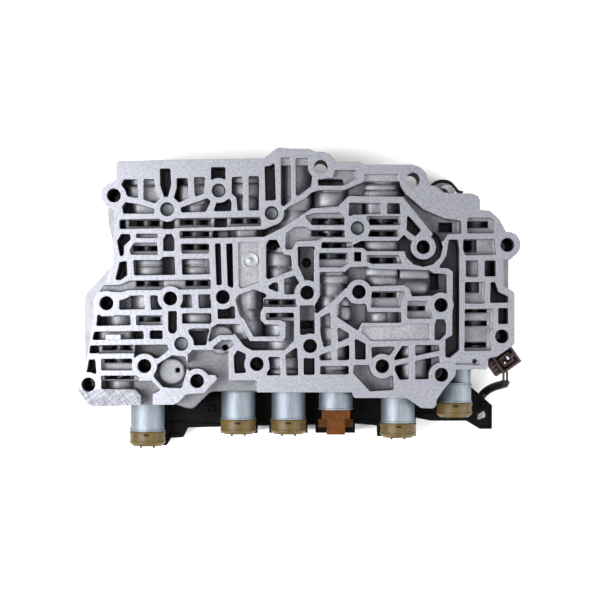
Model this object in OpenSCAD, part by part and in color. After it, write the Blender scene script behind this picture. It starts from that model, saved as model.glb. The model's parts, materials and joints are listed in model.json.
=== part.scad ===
// Transmission valve body, seen from its case side: a two-layer hydraulic control
// casting with sliding spool valves, six solenoids, a lead frame and a sensor lead.
// All sizes are in millimetres. The case face points up (+Z), solenoids point to -Y.

/* [Castings] */
// Distance of the left edge from the drawing datum
left_edge = 113.5; // [112:0.5:120]
// Distance of the upper edge from the drawing datum
upper_edge = 76.2; // [75.8:0.1:82]
// Corner radius of the casting outline
edge_round = 1.8; // [0.5:0.1:2.4]
// Thickness of the main casting, plate face to case face
main_height = 34.5; // [32:0.5:44]
// Thickness of the rear casting
rear_height = 16; // [13:0.5:24]
// Thickness of the steel separator plate
plate_thickness = 1.5; // [0.8:0.1:3]
// Depth of the open cells below the case face
cell_depth = 20; // [14:0.5:21]
// Depth of the cells that end on a plain floor
floor_depth = 12; // [8:0.5:14]
// Depth of the flat channel floors that carry the ports
channel_depth = 5.4; // [3:0.1:6]
// Depth of the wide recessed pads
pad_depth = 2; // [0.5:0.1:3]
// Corner radius of the cells
cell_fillet = 0.8; // [0.3:0.1:1]
// Radius of the raised ring around a bolt hole
boss_radius = 6.2; // [5:0.1:6.6]
// Diameter of the case bolt holes
bolt_hole = 7; // [6:0.1:7.6]

/* [Valve bores] */
// Depth of the bore axes below the case face
bore_depth = 15; // [14:0.5:16]
// Radius of the large valve bores
bore_radius = 6; // [5:0.1:6.2]
// Radius of the two small valve bores
small_bore_radius = 5; // [4:0.1:5.4]
// Wall of cast metal around a bore
bore_wall = 2.6; // [1.6:0.1:2.8]
// Radial running clearance of a spool
spool_clearance = 0.08; // [0.05:0.01:0.1]
// Stem radius of a spool as a share of its land radius
stem_share = 0.6; // [0.45:0.05:0.75]
// Length of one spool land
land_length = 6; // [4:0.5:7]
// Wire radius of the return springs
spring_wire = 0.6; // [0.4:0.1:0.8]
// Length of a return spring at rest
spring_length = 12; // [10:0.5:13]
// Length of a bore plug
plug_length = 6; // [4:0.5:8]
// Thickness of the sheet keepers
keeper_thickness = 1.5; // [1:0.1:2]
// How far a keeper sits in from the open end of its bore
keeper_inset = 3.5; // [2.5:0.1:5]

/* [Solenoids] */
// Depth of the solenoid axes below the case face
solenoid_depth = 26.3; // [26:0.1:27]
// Radius of a solenoid can
can_radius = 8.6; // [7.5:0.1:8.8]
// Length of a solenoid can
can_length = 15; // [12:0.5:18]
// Length of the plastic cap
cap_length = 7.5; // [5:0.5:9]
// Radius of the nose that sits in the casting
nose_radius = 4.2; // [3.5:0.1:4.4]
// Length of the nose
nose_length = 14.5; // [13.5:0.1:14.8]
// Cross-section radius of the nose seals
seal_section = 0.8; // [0.6:0.1:0.9]

/* [Lead frame and lead] */
// Height of the lead frame underside above the table
frame_bottom = 3; // [1:0.5:6]
// Thickness of the lead frame tray
frame_thickness = 10; // [6:0.5:12]
// Radius of the black sheath on the sensor lead
sheath_radius = 2.2; // [1.6:0.1:2.6]
// Radius of one sensor wire
wire_radius = 0.6; // [0.4:0.1:0.8]

/* [Fasteners] */
// Radius of an assembly bolt shank
bolt_radius = 3; // [2.5:0.1:3.2]
// Radius of an assembly bolt head flange
head_radius = 5.6; // [5:0.1:6]
// Height of an assembly bolt head
head_height = 5; // [4:0.5:6]
// Radius of the check balls
ball_radius = 3; // [2.5:0.1:3.4]

/* [Hidden] */
// Number of sides of round shapes
$fn = 48;
// Levels above the table
plate_z = rear_height;
main_z = plate_z + plate_thickness;
face_z = main_z + main_height;
bore_z = face_z - bore_depth;
solenoid_z = face_z - solenoid_depth;
frame_top = frame_bottom + frame_thickness;
// Small overrun of a cutting shape
over = 1;
// Clearance between pieces that only stand side by side
gap = 0.3;
// Floor of the hollow back of the rear casting
back_depth = 8;
// Rim of the hollow back
back_rim = 4;
// Recess of an assembly bolt end below the case face
bolt_recess = 6;
// Distance of a spool from the blind end of its bore
spool_end_gap = 0.8;
// Height of the clip lug on the rear casting
lug_height = 10;
// Length taken by plug, keeper and spring at the open end of a bore
front_length = keeper_inset + keeper_thickness / 2 + plug_length + spring_length;
// Hole and shank radius of the small screws
small_hole = 1.65;
small_shank = 1.6;
// Seal positions along a solenoid nose, and its keeper groove
seal_steps = [7.2, 11.6];
keeper_step = 3.4;
// Depth of the keeper groove in a nose
nose_groove = 1.1;
// Length of a cap foot
foot_length = 1;
// Half distance between the two pins or feet of a cap
pin_half = 3.3;
// Length of the cross bar and of the tongue of the T-shaped cap
tee_bar = 4.7;
tee_tongue = 12.6;
// Depth of the barrel tops below the case face
saddle_depth = 5.9;
// Depth of the flat discs below the case face
disc_depth = 8;

// Valve bores: axis x, blind end y, open end y, direction of the open end, radius
bores = [
  [-93, -7.2, -53, -1, small_bore_radius],
  [-79.2, -13, 69.8, 1, bore_radius],
  [-54.3, -13, 70.2, 1, bore_radius],
  [-29, -17, 70.6, 1, bore_radius],
  [-11, 24, -46.2, -1, bore_radius],
  [-4.5, 36, upper_edge - 0.7, 1, bore_radius],
  [13.4, 55, -46.2, -1, bore_radius],
  [39.8, -12, 67.6, 1, bore_radius],
  [55.2, -0.5, -47, -1, small_bore_radius],
  [86.3, 42, -34.6, -1, bore_radius]
];
// Solenoids: axis x, seat y, can length, length of the slim collar above the can
solenoids = [
  [-80, -52.1, can_length, 0],
  [-33.6, -46, can_length, 0],
  [-7.9, -46, can_length, 0],
  [16.3, -46, can_length - 5, 0],
  [48.1, -48.8, can_length - 1, 0],
  [77, -34.5, can_length - 5, 7.8]
];
// Radius of the slim collar of the last solenoid
collar_radius = 5.8;
// Sideways step of that collar, clear of the bolt beside it
collar_step = 2.6;
// Solenoid with the T-shaped brown cap
tee_solenoid = 3;
// Case bolt holes that go right through
case_holes = [
  [-95.1, 52.3], [8.4, 66.6], [54.5, 60.3], [-98.8, -1.6], [-66.9, 0.8], [-40.6, 1.5],
  [1.6, 3.7], [27.5, 4.1], [59.7, 26.5], [68.6, -2.5], [101.7, 27.6], [-79.8, -33],
  [-107.8, -42.3], [-53.5, -40.5], [-23.6, -32], [3.1, -23], [39.2, -33.1],
  [68.8, -37.4], [99, -18.2]
];
// Case holes whose bosses round off the outline, and the rim outside their ring
edge_bosses = [0, 2, 10];
boss_rim = 0.35;
// Blind holes that hold the assembly bolts
bolt_points = [[-68.5, 45.4], [-42.7, 54.8], [-16.2, 43.5], [26.8, 36], [-61.4, -21.9]];
// Check ball seats on the plate side
ball_points = [[-68, 62], [-42, -16], [28, 12], [72, 20]];
// Ports into the bores: middle x, middle y, length, width
ports = [
  [-93.7, -24, 15.2, 2.6], [-93, -30.4, 14.6, 2.2], [-92.7, -38.8, 14.8, 2],
  [-80.1, 38.5, 15.8, 3], [-79.5, 25.9, 13, 2.6], [-77.4, 8.2, 13.8, 2.8],
  [-77.5, -9.7, 11, 2.4],
  [-54.6, 39.1, 15.8, 2.8], [-54.4, 33.2, 13.6, 2.5], [-54.2, 26.6, 13.8, 2.8],
  [-53, 8.4, 13, 2.8],
  [-29.1, 39.7, 15.2, 2.7],
  [-11.1, -1.2, 13.5, 2.3], [-11.3, -7.6, 12.3, 2.3],
  [12, 39.5, 16.4, 3], [11.8, 33.4, 16.4, 2.8], [15.2, 27.3, 12.4, 2.7],
  [14.5, 21.9, 13.6, 2.7],
  [40.1, 39.4, 14.8, 2.8], [39.6, 33.3, 13.8, 2.6], [39.6, 19.9, 13.8, 2.8],
  [40.1, 2.5, 12.8, 2.5],
  [56.2, -4.2, 9.5, 2.3],
  [87.1, 37.9, 11.2, 3.2], [83.1, 27, 7.2, 6], [84.1, 6.4, 7.8, 5.3],
  [86.1, -5.5, 11.8, 1.7], [86.1, -11.7, 11.8, 2.6], [85.8, -22.6, 11.8, 2.7]
];
// Route of the sheath on the sensor lead, from the lead frame to the bare wires
sheath_points = [
  [92.3, -49.99, 8.5], [94.1, -47.95, 8.5], [96.8, -45.8, 12.4], [99.5, -44.3, 18.2],
  [101.9, -43.2, 24], [103, -42.3, 26.9], [103, -41.4, 26.9]
];
// Screws that hold the lead frame to the main casting
frame_screw_points = [[-57, -51], [31, -46.8], [62, -51.6]];
// Small passage holes in the cell floors: x, y, radius
passages = [
  [-15.3, 27.5, 2.5], [1.3, 18.8, 2.3], [-39.6, -24, 1.5], [-63.5, -35.3, 1.2],
  [85.3, -30.6, 1.2]
];
// Wells that go down near the plate: low corner, high corner
wells = [
  [68, 34.2, 75, 39], [25, 19.3, 28.7, 24], [64.3, 5.5, 68.3, 13.1], [-1.5, -14.3, 4.3, -10.7]
];
// Thickness left under a well
well_floor = 4;
// Flat discs standing in two cells: x, y, radius
discs = [[-66.5, -36, 6.5], [-42, -20, 7]];
// Middle and turn of the sensor plug, clipped to the slanted corner of the casting
sensor_middle = [101.6, -31.15];
sensor_turn = 35;
sensor_size = [15, 10.5, 12];
// Reach of the part to the right and to the lower edge, from the drawing datum
right_reach = sensor_middle[0] + sensor_size[0] / 2 * cos(sensor_turn)
  + sensor_size[1] / 2 * sin(sensor_turn);
lower_reach = cap_length + foot_length - can_end(solenoids[0]);
// Offset of the drawing datum from the middle of the part
plan_x = (left_edge - right_reach) / 2;
plan_y = (lower_reach - upper_edge) / 2;
// Floors that stand higher than the rest of their cell: low corner, high corner, depth
high_floors = [
  [48.9, 1.2, 63.7, 15.8, 13], [22.3, 5.4, 31, 17.4, 14], [22.3, -15.8, 31, -0.6, 14],
  [22.3, 52.6, 30.9, 61, 13], [-2.1, 8.6, 4.7, 27.4, 14], [-2.1, -10.6, 5.8, -2, 12],
  [32.8, -29.9, 46.6, -22.6, 12], [64.2, -40.4, 68.6, -22, 11], [64.6, -20.4, 72.4, -9, 12],
  [-71, 23.8, -64.2, 33.6, 15], [-85.6, -29.8, -67, -22, 16], [-91, 9.4, -88, 20.2, 16],
  [29.1, 59.4, 48.3, 63.9, 3.2], [-12.3, 67.4, 3.3, 72.1, 3.4],
  [-43.7, 30.3, -38.1, 35.7, 13], [21.9, 40.7, 29.5, 49.5, 12]
];
// Flat-topped lengths of the barrels: low x, high x, low y, high y
saddles = [
  [-87.3, -71.6, 57.9, 61.5], [-88.9, -70.4, 49.4, 57.1], [-86.1, -73.1, 42.4, 48.9],
  [-84.3, -71.3, 11.7, 20.6], [-103.9, -85.7, -20.7, -14.9], [-60.5, -48.6, 58.3, 62.1],
  [-63.3, -48.1, 48.2, 57.5], [-59.1, -49.7, 43.1, 47.9], [-59.5, -46.1, 12.1, 21.1],
  [-58.9, -47.5, -12.5, -5.9], [-34.7, -22.1, 59.2, 62.7], [-35.5, -21.9, 51.9, 58.3],
  [-32.9, -23.5, 43.7, 50.9], [-35.1, -22.7, 29.7, 35.9], [-30.3, -22.9, -4.5, 6.1],
  [-29.7, -23.5, -10.3, -5.3], [-17.1, -6.1, 17.3, 23.5], [-14.9, -8.7, 9.9, 16.3],
  [-15.3, -5.5, 1.7, 8.3], [-17.3, -4.3, -34.3, -29.1], [-14.7, -5.9, -38.5, -35.3],
  [-10.1, 3.3, 44.9, 51.7], [8.1, 20.5, 45.1, 55.5], [9.1, 20.3, -7.7, 14.7],
  [15.7, 24.1, -9.5, -3.7], [15.7, 23.3, -2.9, 1.5], [9.3, 21.3, -20.3, -13.3],
  [10.5, 20.3, -11.5, -8.3], [10.7, 19.3, -30.9, -24.5], [8.7, 21.5, -35.1, -33.3],
  [8.9, 21.3, -37.7, -35.9], [31.5, 45.3, 55.7, 58.3], [29.3, 47.5, 50.7, 54.7],
  [31.1, 43.5, 42.3, 49.3], [31.7, 46.3, 23.7, 30.3], [31.3, 46.5, 11.9, 16.3],
  [33.3, 47.3, 6.3, 10.9], [33.7, 42.9, -10.3, -5.1], [49.5, 60.5, -28.7, -21.7],
  [49.9, 59.9, -40.7, -29.7]
];
// Short bulge across the right middle: low x, high x, y, radius
side_bulge = [46, 62.4, 6.2, 6.6];
// Clip screw at the upper right
clip_point = [72, 55];

// Piece to draw

// Turns a shape drawn along +Z so that it runs along +Y or -Y from a point
module along_y(x, y, z, way) {
  translate([x, y, z])
    rotate([-90 * way, 0, 0])
      children();
}

// A solid round bar along Y between two ends
module bar_y(x, y0, y1, z, r) {
  along_y(x, min(y0, y1), z, 1)
    cylinder(h = abs(y1 - y0), r = r);
}

// Outline of the main casting at the case face
module main_outline() {
  offset(r = edge_round, $fn = 20)
    offset(delta = -edge_round) {
      main_corners();
      for (i = edge_bosses)
        translate(case_holes[i])
          circle(r = boss_radius + boss_rim);
    }
}

// Corner points of the main casting, round the drawing datum
module main_corners() {
  polygon([
    [-94, 69.6], [-20, 70.8], [-15, 74.8], [-13, upper_edge], [-10.4, upper_edge],
    [-7, 75.7], [2.5, 75.6],
    [5.5, 74.2], [10, 74], [13, 73], [16, 69], [28, 69], [29.8, 67.7], [54, 67.7],
    [58, 66.5], [61, 63.5], [62.2, 58.7], [63.3, 57.3], [66, 57], [70, 53.7],
    [84, 53.2], [87, 52], [88, 50], [88, 45], [93, 44.6], [97.5, 40.5], [101, 34],
    [106, 33], [108, 28], [106, 22.5], [101.8, 20.5], [99.7, 20], [99.7, 7],
    [103.5, 5], [105.3, 3.5], [105.3, -21.4], [104.6, -22.6], [96.6, -28.2], [92, -29],
    [92, -34], [91, -34.7], [76, -34.7], [75.5, -38], [70, -44.5], [66.3, -50],
    [66, -53], [64.5, -54.3], [58.5, -54], [52, -49.5], [50, -49], [24.5, -49],
    [24.3, -46.2], [-46, -46.2], [-48, -47], [-55, -54], [-56.5, -54.9],
    [-60, -54.5], [-66, -52.3], [-105.5, -53.3], [-108.3, -51.8], [-110.3, -49],
    [-left_edge, -44.6], [-left_edge, -40], [-110, -36], [-108.3, -28], [-106.3, -15],
    [-105, -5], [-105.3, 0], [-103, 4], [-100, 8], [-96, 17.5], [-95.3, 20],
    [-95.3, 33], [-94.7, 35.3], [-95, 45], [-100, 48], [-101.3, 52], [-100, 56.5],
    [-94, 60]
  ]);
}

// Outline of the rear casting, wider than the main one on the left
module rear_outline() {
  polygon([
    [-91, 66], [-18, 67], [-14, 70], [-5, 70], [2, 61.6], [14, 60], [28, 63.5],
    [45.6, 63.5], [48.6, 55], [58, 54], [63, 52.5], [84, 50], [90, 42], [98, 36],
    [106.5, 34], [108, 22], [105.6, 20.5], [105.6, -18], [104, -21], [96, -26], [77, -31], [74, -41],
    [6, -41], [4, -44.5], [-73, -44.5], [-75, -49],
    [-107, -49], [1 - left_edge, -44], [0.1 - left_edge, -10], [0.1 - left_edge, 0],
    [1.5 - left_edge, 4], [-107, 9], [-98, 19], [-99.2, 32.6], [-100.8, 37.8],
    [-101.3, 46.4], [-100, 57]
  ]);
}

// Cells whose floors lie low, with the bore barrels showing in them
module deep_shapes() {
  // Row along the top edge
  polygon([[-91.5, 57.8], [-90.2, 60.4], [-83.3, 60.4], [-82.8, 50.8], [-88.2, 51.8]]);
  polygon([[-80.3, 60.5], [-74.8, 60.5], [-74.3, 55], [-72, 50.8], [-74.5, 48.3],
    [-80.3, 50.2]]);
  polygon([[-72.2, 65.8], [-66.8, 65.8], [-66.3, 58], [-68, 51.5], [-70, 51.5],
    [-72, 57.5]]);
  polygon([[-91, 46.8], [-89.3, 49], [-82, 47.8], [-74.6, 45.5], [-74.8, 43.2],
    [-90.5, 43.2]]);
  polygon([[-63.8, 61], [-58, 61], [-57.7, 51.2], [-62.5, 48.6], [-65.2, 51.2],
    [-63.8, 56]]);
  polygon([[-55.2, 61.5], [-49.3, 61.5], [-50, 53.3], [-54.6, 51.6]]);
  polygon([[-46.6, 66.5], [-39.2, 66.5], [-39.2, 60], [-46.6, 60]]);
  polygon([[-48.3, 51], [-46.5, 49.5], [-49, 44.2], [-61.4, 43.7], [-61.8, 46.2]]);
  polygon([[-37, 50.8], [-36.2, 49], [-36.3, 44.5], [-45.3, 44.3], [-44, 48.6]]);
  polygon([[-36.2, 61.5], [-30.6, 61.8], [-30.3, 44.7], [-33.3, 44.7], [-33.8, 51],
    [-36.2, 53.3]]);
  polygon([[-27.8, 62], [-22.4, 62], [-22.4, 44.8], [-27.6, 44.8]]);
  polygon([[-19.8, 66.8], [-17, 67.2], [-14.6, 69], [-14, 50], [-19.3, 49.6]]);
  polygon([[-11.7, 71.3], [-6.6, 71.3], [-6.4, 50], [-10.3, 46.6], [-11.6, 48]]);
  polygon([[-4.3, 71], [2.7, 71], [2.2, 67.3], [4.2, 62.5], [3.6, 57], [-3, 51.8],
    [-4.1, 52.6]]);
  // Long diagonal channel above the middle
  polygon([[-20, 35.4], [-12.5, 38.4], [-10, 44.6], [-8, 46.4], [0, 50.4], [4, 54],
    [7.5, 55], [20, 55], [29.6, 59], [30, 63], [47.5, 63], [48.3, 57.5], [51, 53],
    [49, 51.6], [22.2, 52], [17, 46.8], [4, 45.8], [-11, 36], [-20, 31.6], [-46, 31],
    [-46, 34.7]]);
  polygon([[7, 60.6], [19.8, 60.6], [19.8, 57.2], [7, 57.2]]);
  polygon([[68, 39], [75, 39], [75, 34.2], [68, 34.2]]);
  // Cells round the right middle bores
  polygon([[22.5, 48.7], [38.5, 48.5], [38.5, 43], [24.5, 42.6], [22.2, 41.3]]);
  polygon([[41.5, 48.5], [48, 48.5], [48.3, 43], [41.5, 43]]);
  polygon([[51.5, 43.2], [58.8, 35], [55.7, 31.7], [51.2, 35]]);
  polygon([[22, 26.3], [28.5, 29.6], [47, 29.6], [50, 32.8], [54, 29], [52, 24.4],
    [31.5, 24.4], [29.5, 26]]);
  polygon([[25, 24], [28.7, 24], [28.7, 19.3], [25, 19.3]]);
  // Left block
  polygon([[-91.6, 33], [-87, 33], [-86.5, 30.5], [-90, 27], [-90, 22.6], [-92, 21.5],
    [-93.5, 29.5]]);
  polygon([[-70.5, 30.4], [-69, 33], [-66, 33], [-64.7, 30.4], [-64.7, 24.5],
    [-70.5, 24.5]]);
  polygon([[-92.3, 19], [-88.6, 19.6], [-88.2, 12.5], [-91.5, 10], [-94.5, 10]]);
  polygon([[-85.5, 20], [-72, 20], [-70.5, 21.6], [-64.7, 21.7], [-64.2, 12.6],
    [-85, 12.3]]);
  polygon([[-71, 40.3], [-65, 40.3], [-65, 35.5], [-71, 35.5]]);
  polygon([[-45, 41], [-38.6, 41], [-38.6, 36.3], [-45, 36.3]]);
  polygon([[-92.3, 40], [-89.6, 40], [-89.6, 35.6], [-92.3, 35.6]]);
  polygon([[-77, 2.3], [-73.2, 2.3], [-70.5, -4.8], [-76.6, -5]]);
  polygon([[-61.2, 20.5], [-47.2, 20.7], [-46.8, 13], [-61, 12.6]]);
  polygon([[-44.6, 28.3], [-41.6, 28.3], [-41, 7.4], [-43.8, 7.4]]);
  polygon([[-39, 28.3], [-35.7, 28.3], [-35.2, 5.8], [-38.2, 7]]);
  polygon([[-60.6, 2.8], [-56.2, 2.8], [-55.7, -3.9], [-62, -4]]);
  polygon([[-53, 2.8], [-46.6, 2.8], [-46.3, -4], [-52.6, -4.2]]);
  // Lower left block
  polygon([[-103.4, -7.4], [-86.9, -7.7], [-86.5, -12.6], [-104, -13]]);
  polygon([[-105, -15.8], [-80.2, -15.5], [-80, -19.5], [-106, -20]]);
  polygon([[-77.2, -15.2], [-70.6, -15.2], [-70.6, -19.5], [-77.2, -19.5]]);
  polygon([[-107, -22.8], [-103, -22.6], [-103, -26.7], [-107.5, -26.7]]);
  polygon([[-85, -22.4], [-68.3, -22.3], [-67.5, -24.8], [-73, -29.2], [-85, -29]]);
  polygon([[-107.5, -29.7], [-104.3, -29.7], [-103.7, -37.2], [-108.8, -36.2]]);
  polygon([[-68, -5.5], [-63.5, -5.5], [-63.5, -15], [-64.6, -16.7], [-67, -16.7],
    [-68, -15]]);
  polygon([[-61, -6.6], [-46.2, -6.6], [-46.2, -11.8], [-61, -11.8]]);
  polygon([[-43.2, -4.2], [-38, -4], [-36.3, -3], [-34.5, -3.2], [-34.2, -9.3],
    [-43.2, -9.5]]);
  polygon([[-58.3, -15], [-55.5, -14.2], [-47, -14.2], [-48.8, -22.6], [-55, -22.7]]);
  // Middle
  polygon([[-19, 28], [-17.5, 30.2], [-13.5, 30.2], [-12, 27], [-9.8, 22.8],
    [-6.5, 22.3], [-5.5, 15], [-18, 10.3], [-19, 11.5]]);
  polygon([[-3.3, 26.7], [6, 26.8], [5, 24.5], [5, 9], [0.5, 9.5], [-3, 17.5]]);
  polygon([[-18, 7], [-15.5, 8.7], [-12.8, 8.8], [-12.7, 3.8], [-17.7, 5.8]]);
  polygon([[-10, 10.5], [-4.5, 12.3], [-2.3, 8.7], [-5, 2.8], [-9.8, 2.8]]);
  polygon([[7.7, 14], [20.5, 14.2], [23, 16.4], [31, 16.8], [33.5, 15.7], [47, 15.5],
    [62.5, 15], [65, 13.4], [71.5, 13], [71.5, 3.3], [65, 2.2], [54, 1.8],
    [52.5, 6], [50, 7.4], [33, 6.8], [21, 6], [15, 0], [10, -4], [5.6, -7.4],
    [5.4, -2.4], [7.8, 2]]);
  polygon([[-34.3, 0], [-33, 2.5], [-25, 5.3], [-20, 3.5], [-18, 2.3], [-20.3, 0.6],
    [-20.3, -3.6], [-21.6, -6], [-21.6, -10], [-19.6, -12.2], [-12.4, -12.3],
    [-12, -18.2], [-25.3, -18.3], [-30, -9.6], [-32, -8]]);
  polygon([[-38.5, -12], [-32, -12], [-30, -15], [-27, -20.5], [-10.6, -20.7],
    [-9.3, -18.5], [-9.3, -10.8], [-4.7, -10.7], [-4.8, -20], [-9.5, -25],
    [-26, -25.2], [-30, -23], [-35, -16.4]]);
  polygon([[-33.3, -25], [-29, -27], [-29, -36.5], [-34.8, -36.7], [-35.2, -28]]);
  polygon([[-2.2, -2.7], [5.4, -2.7], [5.4, -17], [-2, -17.5]]);
  polygon([[8, -8.7], [13.3, -6], [13.8, -22.3], [9.8, -23.8], [8.2, -17]]);
  polygon([[16.5, -13.3], [22.6, -16.7], [22.6, -18.8], [17, -21.3]]);
  polygon([[9.3, -27], [13.7, -25.3], [14, -30], [8.4, -30.3], [7.3, -28]]);
  polygon([[16.5, -24.4], [22.8, -22.3], [22.8, -30], [16.8, -30.2]]);
  polygon([[25.3, -19], [31, -22], [31, -29.8], [25.5, -29.8]]);
  polygon([[8, -33], [22.5, -33], [22.5, -37.2], [8, -37.2]]);
  polygon([[-0.2, -29], [5.4, -29], [5.4, -37.4], [-0.2, -37.4]]);
  polygon([[-18, -28.4], [-12, -28.5], [-11.6, -37.6], [-19.3, -37.8], [-17.2, -34]]);
  polygon([[-9.3, -27.5], [-4.5, -24], [-3.2, -24], [-2.8, -37.7], [-8.8, -37.8]]);
  polygon([[20.8, 2], [24, -1.6], [31.2, -2], [32, -6], [48.7, -6], [48.8, -11.4],
    [29, -11.4], [27, -15.4], [16.4, -8.4], [16.4, -3]]);
  // Right block
  polygon([[65.2, -12], [66.3, -9.6], [70.2, -9.6], [71.3, -12], [71, -17],
    [68, -20], [65.2, -20]]);
  polygon([[33.5, -23.5], [46.2, -23.2], [43, -27.5], [34, -29.4]]);
  polygon([[49, -23], [52.4, -23], [52.5, -28.7], [45.2, -30.2], [45, -29]]);
  polygon([[55.5, -22.5], [67.7, -22.5], [68, -25.3], [55.6, -28]]);
  polygon([[45.3, -33], [52.4, -31.2], [52.5, -39.6], [47.8, -40], [45.3, -35]]);
  polygon([[55.5, -30.5], [67.7, -28], [68, -31.5], [62.5, -36], [62.5, -39.6],
    [55.5, -39.7]]);
  polygon([[72.4, 30.3], [77, 30.3], [77.8, 26], [77.8, -25], [73, -28.9],
    [70.6, -28.6], [70.6, -19.6], [74, -17.6], [74.4, 14], [72, 15.9], [67, 16],
    [71, 22]]);
  polygon([[80.8, 19.8], [87.3, 19.8], [87.3, 11.6], [80.8, 11.6]]);
  polygon([[90.2, 19.8], [96, 19.8], [96, 11.8], [90.2, 11.8]]);
  polygon([[93.2, 9], [95.7, 9], [97.5, 4], [102.3, 1.8], [102.3, -1.3], [93, -1.5]]);
  polygon([[97, -4], [102.2, -4], [102.2, -12], [97, -12]]);
}

// Ring-shaped cell round the bolt hole right of the middle
module ring_cell() {
  ring_radius = 10;
  difference() {
    translate([59.7, 26.5])
      circle(r = ring_radius);
    polygon([[59.7, 26.5], [68, 38], [46, 42], [47, 33.5]]);
  }
}

// Cells with a plain floor at middle depth
module floor_shapes() {
  polygon([[48.3, 57.5], [51, 53], [60, 45.3], [70, 41], [78.8, 39.6], [78.8, 33.2],
    [72, 33], [69.4, 29], [66, 31], [58, 41], [49.4, 51.6], [48, 54]]);
  polygon([[24.8, -32.5], [32.5, -32.5], [35, -38], [44.7, -37.8], [45, -45],
    [33, -45.7], [24.5, -36.5]]);
  polygon([[-92.4, 0], [-90, 0.3], [-86.5, 2.2], [-80.2, 2.3], [-79.5, -4.5],
    [-92.5, -4.9]]);
  polygon([[-101.5, -40.5], [-82.2, -40.5], [-76, -40.4], [-71.4, -45], [-75.6, -47],
    [-75.6, -56], [-81.6, -56], [-81.6, -48], [-84.5, -44.7], [-101.5, -44.6]]);
  polygon([[-73.7, -32.3], [-66, -27.6], [-59, -28.4], [-58, -33], [-61, -44],
    [-67, -44], [-70.7, -43.5], [-75.3, -38.3]]);
  polygon([[-58, -25], [-37.6, -25], [-37.6, -40.5], [-43, -40.8], [-45.4, -42.6],
    [-53.5, -40.5], [-58.4, -34]]);
  polygon([[-47, -24.7], [-41, -20], [-36, -20], [-34.9, -22], [-37.6, -24.7]]);
  polygon([[-46.4, -14], [-43.2, -12], [-37, -12], [-34.6, -15], [-35, -17.5],
    [-42.5, -17.5], [-48.4, -22]]);
  polygon([[-46, -40.2], [-23.4, -40.2], [-23.4, -48], [-46, -48]]);
  polygon([[-43.3, -41.5], [-45.5, -41.5], [-50, -46.6], [-59, -47.2], [-63, -51.4],
    [-66, -52.6], [-66, -58], [-40, -58]]);
}

// Flat channel floors and frames around the ports
module channel_shapes() {
  polygon([[-92.3, 40.3], [-21.4, 41.6], [-21.4, 37], [-65, 36], [-92.3, 35.5]]);
  polygon([[-62.3, 34.6], [-45.5, 34.7], [-45.5, 31], [-62.2, 30.8]]);
  polygon([[-84, 33.2], [-73, 33.2], [-73, 31], [-84, 31]]);
  polygon([[-85, 28.7], [-73.4, 28.7], [-73, 22.6], [-86.5, 22.6], [-87.3, 25]]);
  polygon([[-61.6, 28.2], [-47.3, 28.2], [-47.3, 23.3], [-61.3, 23.2]]);
  polygon([[-106, 7.4], [-92, 7.6], [-87.5, 9.7], [-46.5, 10.3], [-46.5, 5.6],
    [-62.5, 5.2], [-71, 5], [-88, 5], [-91, 4], [-106, 4.3]]);
  polygon([[-84, -7.7], [-70.5, -7.7], [-70.5, -12.6], [-84, -12.6]]);
  polygon([[-103.2, -22.6], [-84.8, -22.4], [-84.8, -26.6], [-103.2, -26.8]]);
  polygon([[-101.5, -29.4], [-85.8, -29.3], [-85.8, -35.2], [-101.5, -35.2]]);
  polygon([[-101.5, -37.8], [-82.2, -37.8], [-82.2, -40.6], [-101.5, -40.6]]);
  polygon([[-20.2, 0.5], [-4, 0.5], [-3.3, -3.5], [-20.3, -3.5]]);
  polygon([[-19.3, -6.4], [-5, -6.3], [-4.7, -10.9], [-9.3, -11.2], [-12, -10],
    [-19.2, -10]]);
  polygon([[7, 60.7], [14, 61], [15.3, 65], [26.4, 65], [26.4, 61], [20, 57.3],
    [7, 57.2]]);
  polygon([[0, 42], [5, 43.5], [18, 43.8], [20.5, 41], [20.3, 37.4], [4, 37.4]]);
  polygon([[-9.3, 25.2], [-9.3, 33.2], [-5, 36.5], [0.7, 36.7], [3, 35.1], [20.5, 35.1],
    [20.8, 31.4], [9, 31.3], [7, 29.9], [-3.8, 29.3], [-6, 25.2]]);
  polygon([[8.6, 29], [24, 29.1], [24, 26], [8.6, 25.9]]);
  polygon([[7.5, 23.7], [22.3, 23.7], [22.3, 18.5], [19, 16.3], [7.5, 16.3]]);
  polygon([[31.2, 42], [48.3, 42], [48.3, 37.5], [31.2, 37.3]]);
  polygon([[32, 35.2], [47.3, 35.2], [47.3, 31.6], [32, 31.6]]);
  polygon([[31.2, 22.5], [47.5, 22.5], [49.7, 18.3], [34, 18], [31.2, 19.5]]);
  polygon([[33.8, 4.4], [51, 4.5], [48.7, -1], [48.5, -3.8], [33.2, -3.8]]);
  polygon([[51.5, -0.4], [62, -0.5], [62.5, -4], [64.3, -7.5], [63.5, -9.3],
    [51.5, -9.3]]);
  polygon([[81.5, 41.2], [93.5, 41.2], [95.3, 39.5], [95.2, 33.4], [81.5, 33.3]]);
  polygon([[79.5, 30.5], [95.5, 30.5], [96.3, 23.5], [95.5, 22.7], [80.7, 22.3],
    [79.4, 25.3]]);
  polygon([[80.4, 9], [90.5, 9], [90.5, -1.8], [80.4, -1.8]]);
  polygon([[80.3, -4.5], [94.8, -4.3], [94.7, -14], [92.7, -17.5], [94, -25.3],
    [80, -25.6]]);
}

// Wide pads just below the case face
module pad_shapes() {
  polygon([[-33, 29], [-22.3, 29], [-22, 9], [-31.5, 5.7], [-32.7, 7]]);
  polygon([[28.7, -13.2], [48, -13.2], [50.4, -11.8], [63.2, -11.8], [63.2, -20],
    [33.5, -20.5], [28.6, -16]]);
  polygon([[76, -31.7], [84.6, -31.7], [84.6, -30.2], [88, -30.2], [88, -32.6],
    [76, -32.4]]);
}

// Softens the corners of a set of cells
module softened() {
  offset(r = cell_fillet, $fn = 12)
    offset(delta = -cell_fillet)
      children();
}

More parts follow.
